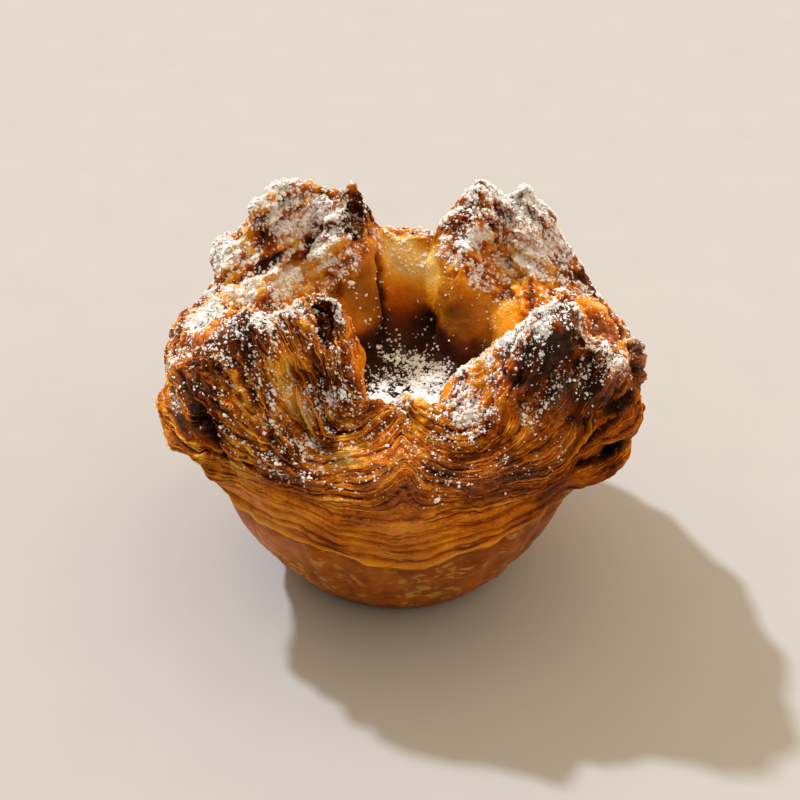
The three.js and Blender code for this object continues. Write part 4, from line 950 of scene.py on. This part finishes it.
def scatter(name, shape, count, size_lo, size_hi, power, weight, flat, sink, group=1, spread=0.0):
    """Grains laid on the crust; group > 1 heaps that many into one soft clump."""
    a, b = S[:, :-1], np.roll(S, -1, 0)[:, :-1]
    c, d = np.roll(S, -1, 0)[:, 1:], S[:, 1:]
    area = .5 * np.linalg.norm(np.cross(c - a, d - b), axis=-1)
    wq = area * .25 * (weight[:, :-1] + np.roll(weight, -1, 0)[:, :-1] + np.roll(weight, -1, 0)[:, 1:] + weight[:, 1:])
    p = wq.ravel() / wq.sum()
    heads = count // group
    pick = np.repeat(rng.choice(len(p), heads, p=p), group)
    n = len(pick)
    ci, ri = np.unravel_index(pick, wq.shape)
    nor = N2[ci, ri]
    if group > 1:
        # members of a clump fall on neighbouring cells of the crust
        du = np.linalg.norm(b[ci, ri] - a[ci, ri], axis=1)
        dv = np.linalg.norm(d[ci, ri] - a[ci, ri], axis=1)
        rad = np.repeat(np.where(rng.random(heads) < .35, 3.6, rng.random(heads) ** 1.6), group) * spread
        ang, rr = rng.random(n) * 6.283, np.sqrt(rng.random(n)) * rad
        ou = np.clip(rr * np.cos(ang) / np.maximum(du, .3), -4, 4)
        ov = np.clip(rr * np.sin(ang) / np.maximum(dv, .1), -9, 9)
        fu, fv = ci + rng.random(n) * .9 + ou, np.clip(ri + rng.random(n) * .9 + ov, 0, NV - 2.01)
        ci, ri = np.floor(fu).astype(int) % NU, np.floor(fv).astype(int)
        u, w = (fu - np.floor(fu))[:, None], (fv - np.floor(fv))[:, None]
        nor = N2[ci, ri]
    else:
        u, w = rng.random(n)[:, None], rng.random(n)[:, None]
    pos = (a[ci, ri] * (1 - u) + b[ci, ri] * u) * (1 - w) + (d[ci, ri] * (1 - u) + c[ci, ri] * u) * w
    size = (size_lo + (size_hi - size_lo) * rng.random(n) ** power)
    size = (size * (1 + .40 * ease(4, 12, S[ci, ri, 1])))[:, None, None]
    v, f = shape
    q = rng.normal(size=(n, 3, 3))
    x = q[:, 0] / np.linalg.norm(q[:, 0], axis=1, keepdims=True)
    y = q[:, 1] - (q[:, 1] * x).sum(1, keepdims=True) * x
    y /= np.linalg.norm(y, axis=1, keepdims=True)
    z = np.cross(x, y)
    rot = np.stack([x, y, z], 1)
    jit = 1 + .7 * (rng.random((n, len(v), 1)) - .5)
    stretch = 1 + .45 * (rng.random((n, 1, 3)) - .5) * 2
    loc = (v[None] * jit * stretch) @ rot
    dn = (loc * nor[:, None, :]).sum(-1, keepdims=True)
    loc = loc - nor[:, None, :] * dn * (1 - flat)
    pts = pos[:, None, :] + loc * size + nor[:, None, :] * (size * sink)
    pts = np.minimum(np.maximum(pts, lo - 2 * room), hi + 2 * room)
    tris = (f[None] + (np.arange(n) * len(v))[:, None, None]).reshape(-1, 3)
    return make_mesh(name, pts.reshape(-1, 3), None, tris, smooth=False)


clumps = scatter("icing_sugar_clumps", ico(), 9800, .13, .38, 1.7, np.clip(dust, 0, 2.4) ** 1.5, .6, .2, group=3, spread=.36)
grains = scatter("icing_sugar_grains", octa(), 24500, .09, .24, 1.4, np.clip(dust + .01 * (VV > .50), 0, 1.8) ** .9, .9, .3, group=2, spread=.3)


# ---------------------------------------------------------------------------
# Materials
# ---------------------------------------------------------------------------
class Nodes:
    def __init__(self, name):
        self.mat = bpy.data.materials.new(name)
        self.mat.use_nodes = True
        self.t = self.mat.node_tree
        self.bsdf = self.t.nodes["Principled BSDF"]

    def new(self, kind, **props):
        n = self.t.nodes.new(kind)
        for key, val in props.items():
            setattr(n, key, val)
        return n

    def put(self, sock, val):
        if isinstance(val, bpy.types.NodeSocket):
            self.t.links.new(val, sock)
        elif val is not None:
            sock.default_value = val

    def attr(self, name, vec=False):
        n = self.new("ShaderNodeAttribute", attribute_name=name)
        return n.outputs["Vector"] if vec else n.outputs["Fac"]

    def math(self, op, a, b=None, c=None, clamp=False):
        n = self.new("ShaderNodeMath", operation=op, use_clamp=clamp)
        for s, v in zip(n.inputs, (a, b, c)):
            self.put(s, v)
        return n.outputs[0]

    def vmath(self, op, a, b):
        n = self.new("ShaderNodeVectorMath", operation=op)
        self.put(n.inputs[0], a)
        self.put(n.inputs[1], b)
        return n.outputs[0]

    def noise(self, vec, scale, detail=3.0, rough=.55, dist=0.0):
        n = self.new("ShaderNodeTexNoise")
        self.put(n.inputs["Vector"], vec)
        n.inputs["Scale"].default_value = scale
        n.inputs["Detail"].default_value = detail
        n.inputs["Roughness"].default_value = rough
        n.inputs["Distortion"].default_value = dist
        return n.outputs["Fac"]

    def noise_colour(self, vec, scale):
        n = self.new("ShaderNodeTexNoise")
        self.put(n.inputs["Vector"], vec)
        n.inputs["Scale"].default_value = scale
        n.inputs["Detail"].default_value = 1
        return n.outputs["Color"]

    def ramp(self, fac, stops, interp="LINEAR"):
        n = self.new("ShaderNodeValToRGB")
        r = n.color_ramp
        r.interpolation = interp
        while len(r.elements) > 1:
            r.elements.remove(r.elements[-1])
        r.elements[0].position = stops[0][0]
        r.elements[0].color = (*stops[0][1], 1)
        for p, c in stops[1:]:
            e = r.elements.new(p)
            e.color = (*c, 1)
        self.put(n.inputs[0], fac)
        return n.outputs[0]

    def span(self, fac, a, b, lo_=0.0, hi_=1.0, smooth=True):
        n = self.new("ShaderNodeMapRange", interpolation_type="SMOOTHSTEP" if smooth else "LINEAR")
        self.put(n.inputs[0], fac)
        for s, v in zip(n.inputs[1:5], (a, b, lo_, hi_)):
            self.put(s, v)
        return n.outputs[0]

    def mix(self, fac, a, b, kind="MIX"):
        n = self.new("ShaderNodeMix", data_type="RGBA", blend_type=kind)
        self.put(n.inputs[0], fac)
        for s, v in ((n.inputs[6], a), (n.inputs[7], b)):
            self.put(s, (*v, 1) if isinstance(v, tuple) else v)
        return n.outputs[2]

    def bump(self, height, strength, dist, normal=None):
        n = self.new("ShaderNodeBump")
        n.inputs["Strength"].default_value = strength
        n.inputs["Distance"].default_value = dist
        self.put(n.inputs["Height"], height)
        self.put(n.inputs["Normal"], normal)
        return n.outputs[0]


BAKE_COLOURS = [
    (0.00, (0.92, 0.63, 0.180)), (0.14, (0.87, 0.47, 0.055)), (0.30, (0.80, 0.295, 0.010)),
    (0.44, (0.60, 0.160, 0.0035)), (0.58, (0.335, 0.070, 0.0022)), (0.72, (0.155, 0.028, 0.0022)),
    (0.86, (0.060, 0.0125, 0.0032)), (1.00, (0.021, 0.0065, 0.0034)),
]


def crust_material():
    m = Nodes("laminated_crust")
    obj = m.new("ShaderNodeTexCoord").outputs["Object"]
    flow = m.attr("flow", True)
    bake_and_shading_, red_, gloss_, gap_shade_and_caramel_, edge_highlight_, deep_crease_shade_, band_, crusty_, skin_, fan_, dust_ = (
        m.attr(n) for n in ("bake_and_shading", "red", "gloss", "gap_shade_and_caramel", "edge", "deep_crease_shade", "band", "crusty", "skin", "fan", "dust"))
    big = m.noise(obj, 150, 3)
    mid = m.noise(obj, 480, 3, .6)
    fine_ = m.noise(obj, 1700, 3, .65)
    # layers finer than the mesh can hold, drawn out along the sheets
    flow = m.vmath("ADD", flow, m.vmath("MULTIPLY", m.noise_colour(obj, 1300), (0.0, 0.0, .42)))
    lines = m.noise(m.vmath("MULTIPLY", flow, (1.3, 1.3, 2.6)), 1.0, 3, .65)
    thin_a = m.noise(m.vmath("MULTIPLY", flow, (3.5, 3.5, 4.2)), 1.0, 2, .6)
    thin_b = m.noise(m.vmath("MULTIPLY", flow, (4.5, 4.5, 9.0)), 1.0, 2, .6)
    thin = m.math("ADD", m.math("MULTIPLY", thin_a, m.math("SUBTRACT", 1.0, fan_)), m.math("MULTIPLY", thin_b, fan_))

    # crisp hairlines between sheets, darkened as painted shade, and their free edges, made paler as painted highlight
    def hair(x, wide):
        return m.span(m.math("ABSOLUTE", m.math("SUBTRACT", x, .5)), 0.0, wide, 1.0, 0.0)
    hairline_shade_a = m.math("MULTIPLY", hair(lines, .030), m.span(m.noise(obj, 260, 2), .40, .62))
    hairline_shade_b = m.math("MULTIPLY", hair(thin, .045), m.span(m.noise(obj, 330, 2), .42, .60))
    lit_a = m.span(lines, .565, .66)
    lit_b = m.span(thin, .57, .66)

    def swing(x, amount, by=None):
        v = m.math("MULTIPLY", m.math("SUBTRACT", x, .5), amount)
        return m.math("MULTIPLY", v, by) if by is not None else v

    b = m.math("ADD", bake_and_shading_, swing(big, .30))
    b = m.math("ADD", b, swing(mid, .22))
    b = m.math("ADD", b, swing(mid, .40, crusty_))
    b = m.math("ADD", b, swing(fine_, .40, crusty_))
    b = m.math("ADD", b, swing(fine_, .46, band_))
    b = m.math("ADD", b, swing(m.noise(obj, 900, 2, .6), .36, band_))
    b = m.math("ADD", b, swing(lines, .44, band_))
    b = m.math("ADD", b, swing(thin, 1.0, band_))
    # painted shade in the hairlines and painted highlight on the free edges; the gaps and creases darker, partly
    # caramel and partly painted shade
    b = m.math("ADD", b, m.math("MULTIPLY", m.math("ADD", m.math("MULTIPLY", hairline_shade_a, .20), m.math("MULTIPLY", hairline_shade_b, .13)), band_))
    b = m.math("SUBTRACT", b, m.math("MULTIPLY", m.math("ADD", m.math("MULTIPLY", lit_a, .16), m.math("MULTIPLY", lit_b, .14)), band_))
    b = m.math("ADD", b, m.math("MULTIPLY", gap_shade_and_caramel_, .45))
    b = m.math("ADD", b, m.math("MULTIPLY", deep_crease_shade_, .48))
    b = m.math("SUBTRACT", b, m.math("MULTIPLY", edge_highlight_, m.span(mid, .40, .60, .07, .19)), clamp=True)
    col = m.ramp(b, BAKE_COLOURS)
    # hue: buttery yellow on one side, caramel red on the other
    warm = m.span(m.math("ADD", red_, swing(m.noise(obj, 210, 2), .8)), .1, 1.1)
    cool = m.span(m.math("ADD", red_, swing(m.noise(obj, 210, 2), .5)), -.1, -1.0)
    col = m.mix(m.math("MULTIPLY", warm, .75), col, (1.0, .70, .75), "MULTIPLY")
    col = m.mix(m.math("MULTIPLY", cool, .92), col, m.mix(.5, col, m.ramp(b, [
        (0.0, (.92, .72, .28)), (.3, (.76, .43, .030)), (.6, (.36, .155, .006)), (1.0, (.04, .016, .006))])))
    # the paler free edges lose some of their colour, partly dry dough and partly painted highlight
    dry_edge_highlight = m.math("MULTIPLY", m.math("MULTIPLY", m.math("MAXIMUM", lit_a, lit_b), band_), m.span(mid, .40, .62, 0.0, .55), clamp=True)
    col = m.mix(dry_edge_highlight, col, m.mix(.5, col, (.60, .36, .15)))
    # skin from the tin: duller, a little mauve, with pale flecks where it has lifted
    col = m.mix(m.math("MULTIPLY", skin_, .40), col, m.mix(.35, col, (.38, .135, .008)))
    cell = m.new("ShaderNodeTexVoronoi", feature="F1")
    m.put(cell.inputs["Vector"], m.vmath("ADD", m.vmath("MULTIPLY", obj, (1.0, 1.0, 1.35)),
                                         m.vmath("MULTIPLY", m.noise_colour(obj, 900), (.0011, .0011, .0011))))
    cell.inputs["Scale"].default_value = 680
    own = m.new("ShaderNodeSeparateColor")
    m.put(own.inputs[0], cell.outputs["Color"])
    fleck = m.span(own.outputs[0], .74, .77)
    fleck = m.math("MULTIPLY", m.math("MULTIPLY", fleck, skin_), m.span(m.noise(obj, 85, 1), .47, .56, 0.0, .62))
    col = m.mix(fleck, col, (0.70, 0.36, 0.075))
    # film of icing sugar
    speck = m.noise(obj, 1500, 2, .75)
    patchy = m.noise(obj, 360, 3, .6)
    amount = m.math("MULTIPLY", dust_, m.span(patchy, .34, .64, .15, 1.15))
    film = m.span(m.math("ADD", speck, m.math("MULTIPLY", amount, .115)), .66, .73)
    film = m.math("MULTIPLY", film, m.span(dust_, .08, .36), clamp=True)
    haze = m.math("MULTIPLY", m.span(amount, 1.3, 3.2, 0.0, .62), m.span(fine_, .42, .60, .0, 1.0))
    film = m.math("MAXIMUM", film, haze, clamp=True)
    # the finest dusting, on the back lobes
    where = m.new("ShaderNodeSeparateXYZ")
    m.put(where.inputs[0], obj)
    finest = m.math("MULTIPLY", m.span(dust_, .20, 1.3, 0.0, .36), m.span(where.outputs[1], .007, .014))
    film = m.math("MAXIMUM", film, m.math("MULTIPLY", finest, m.span(speck, .35, .60, .45, 1.0)), clamp=True)
    col = m.mix(m.math("MULTIPLY", film, .94), col, (0.88, 0.895, 0.925))
    m.put(m.bsdf.inputs["Base Color"], col)
    rough_ = m.math("ADD", m.span(gloss_, 0.0, 1.0, .56, .22, False), swing(mid, .28))
    rough_ = m.math("ADD", rough_, swing(fine_, .25))
    rough_ = m.math("ADD", rough_, m.math("MULTIPLY", film, .45), clamp=True)
    m.put(m.bsdf.inputs["Roughness"], rough_)
    height = m.math("ADD", m.math("MULTIPLY", thin, m.math("MULTIPLY", band_, 1.3)),
                    m.math("ADD", m.math("MULTIPLY", mid, .8), m.math("MULTIPLY", fine_, .70)))
    height = m.math("ADD", height, m.math("MULTIPLY", m.math("MULTIPLY", fine_, crusty_), .7))
    height = m.math("ADD", height, m.math("MULTIPLY", film, .5))
    height = m.math("SUBTRACT", height, m.math("MULTIPLY", m.math("ADD", m.math("MULTIPLY", hairline_shade_a, .7), m.math("MULTIPLY", hairline_shade_b, .35)), band_))
    m.put(m.bsdf.inputs["Normal"], m.bump(height, .85, .00050))
    m.put(m.bsdf.inputs["Specular IOR Level"], m.math("MULTIPLY", m.span(gloss_, .35, 1.0, .06, .38, False), m.math("SUBTRACT", 1.0, m.math("MULTIPLY", skin_, .5))))
    m.bsdf.inputs["Specular Tint"].default_value = (1.0, .78, .52, 1)
    m.bsdf.inputs["Subsurface Weight"].default_value = .07
    m.bsdf.inputs["Subsurface Radius"].default_value = (1.0, .30, .06)
    m.bsdf.inputs["Subsurface Scale"].default_value = .0016
    return m.mat


def sugar_material():
    m = Nodes("icing_sugar")
    obj = m.new("ShaderNodeTexCoord").outputs["Object"]
    n = m.noise(obj, 900, 2)
    m.put(m.bsdf.inputs["Base Color"], m.ramp(n, [(.3, (0.82, 0.84, 0.87)), (.7, (0.91, 0.935, 0.975))]))
    m.put(m.bsdf.inputs["Roughness"], m.span(n, .3, .7, .75, .95))
    m.put(m.bsdf.inputs["Normal"], m.bump(m.noise(obj, 5000, 1), .3, .0001))
    m.bsdf.inputs["Subsurface Weight"].default_value = .15
    m.bsdf.inputs["Subsurface Radius"].default_value = (1, .9, .8)
    m.bsdf.inputs["Subsurface Scale"].default_value = .0004
    return m.mat


def floor_material():
    m = Nodes("pale_floor")
    obj = m.new("ShaderNodeTexCoord").outputs["Object"]
    n = m.noise(obj, 60, 3)
    m.put(m.bsdf.inputs["Base Color"], m.ramp(n, [(.3, FLOOR_A), (.7, FLOOR_B)]))
    m.bsdf.inputs["Roughness"].default_value = .9
    m.bsdf.inputs["Specular IOR Level"].default_value = 0.0
    return m.mat


FLOOR_A = (0.382, 0.382, 0.400)
FLOOR_B = (0.392, 0.392, 0.410)
crust_mat, sugar_mat = crust_material(), sugar_material()
for ob in (crust, top_crust, flakes):
    ob.data.materials.append(crust_mat)
for ob in (clumps, grains):
    ob.data.materials.append(sugar_mat)

for ob in (crust, top_crust, flakes, clumps, grains):
    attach(ob, "root")
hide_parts("pastry")
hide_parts("pastry")

# ---------------------------------------------------------------------------
# Floor, light and camera
# ---------------------------------------------------------------------------
fm = bpy.data.meshes.new("floor")
fm.from_pydata([(-1.6, -1.6, 0), (1.6, -1.6, 0), (1.6, 1.6, 0), (-1.6, 1.6, 0)], [], [(0, 1, 2, 3)])
floor = bpy.data.objects.new("floor", fm)
bpy.context.scene.collection.objects.link(floor)
fm.materials.append(floor_material())

SKY_LOW, SKY_HIGH = .08, 1.74
scene = bpy.context.scene
SUN_AZIMUTH, SUN_ALTITUDE = -43.0, 53.0          # the way the light travels
sun_data = bpy.data.lights.new("key", "SUN")
sun_data.energy = 3.1
sun_data.angle = math.radians(3.0)
sun_data.color = (.92, .97, 1.0)
sun = bpy.data.objects.new("key", sun_data)
scene.collection.objects.link(sun)
az, alt = math.radians(SUN_AZIMUTH), math.radians(SUN_ALTITUDE)
sun.rotation_euler = Vector((math.cos(az) * math.cos(alt), math.sin(az) * math.cos(alt), -math.sin(alt))).to_track_quat("-Z", "Y").to_euler()

# soft sky: brighter behind and above, dim in front
world = bpy.data.worlds.new("world")
scene.world = world
world.use_nodes = True
wt = world.node_tree
bg = wt.nodes["Background"]
coord = wt.nodes.new("ShaderNodeTexCoord")
dot = wt.nodes.new("ShaderNodeVectorMath")
dot.operation = "DOT_PRODUCT"
wt.links.new(coord.outputs["Generated"], dot.inputs[0])
dot.inputs[1].default_value = Vector((.30, .55, .78)).normalized()
soft = wt.nodes.new("ShaderNodeMapRange")
soft.interpolation_type = "SMOOTHSTEP"
for sock, val in zip(soft.inputs[1:5], (-.35, .85, SKY_LOW, SKY_HIGH)):
    sock.default_value = val
wt.links.new(dot.outputs["Value"], soft.inputs[0])
wt.links.new(soft.outputs[0], bg.inputs[1])
bg.inputs[0].default_value = (1.0, .80, .55, 1)

ELEVATION, DISTANCE, TARGET_Z, FOCAL = 38.0, .215, .034, 36 * 1104 / 800
cam_data = bpy.data.cameras.new("camera")
cam = bpy.data.objects.new("camera", cam_data)
scene.collection.objects.link(cam)
cam_data.sensor_width = 36
cam_data.lens = FOCAL
cam_data.clip_start = .005
cam_data.clip_end = 20
el = math.radians(ELEVATION)
cam.location = (0, -DISTANCE * math.cos(el), TARGET_Z + DISTANCE * math.sin(el))
cam.rotation_euler = (Vector((0, 0, TARGET_Z)) - cam.location).to_track_quat("-Z", "Y").to_euler()
scene.camera = cam
scene.view_settings.view_transform = "Standard"
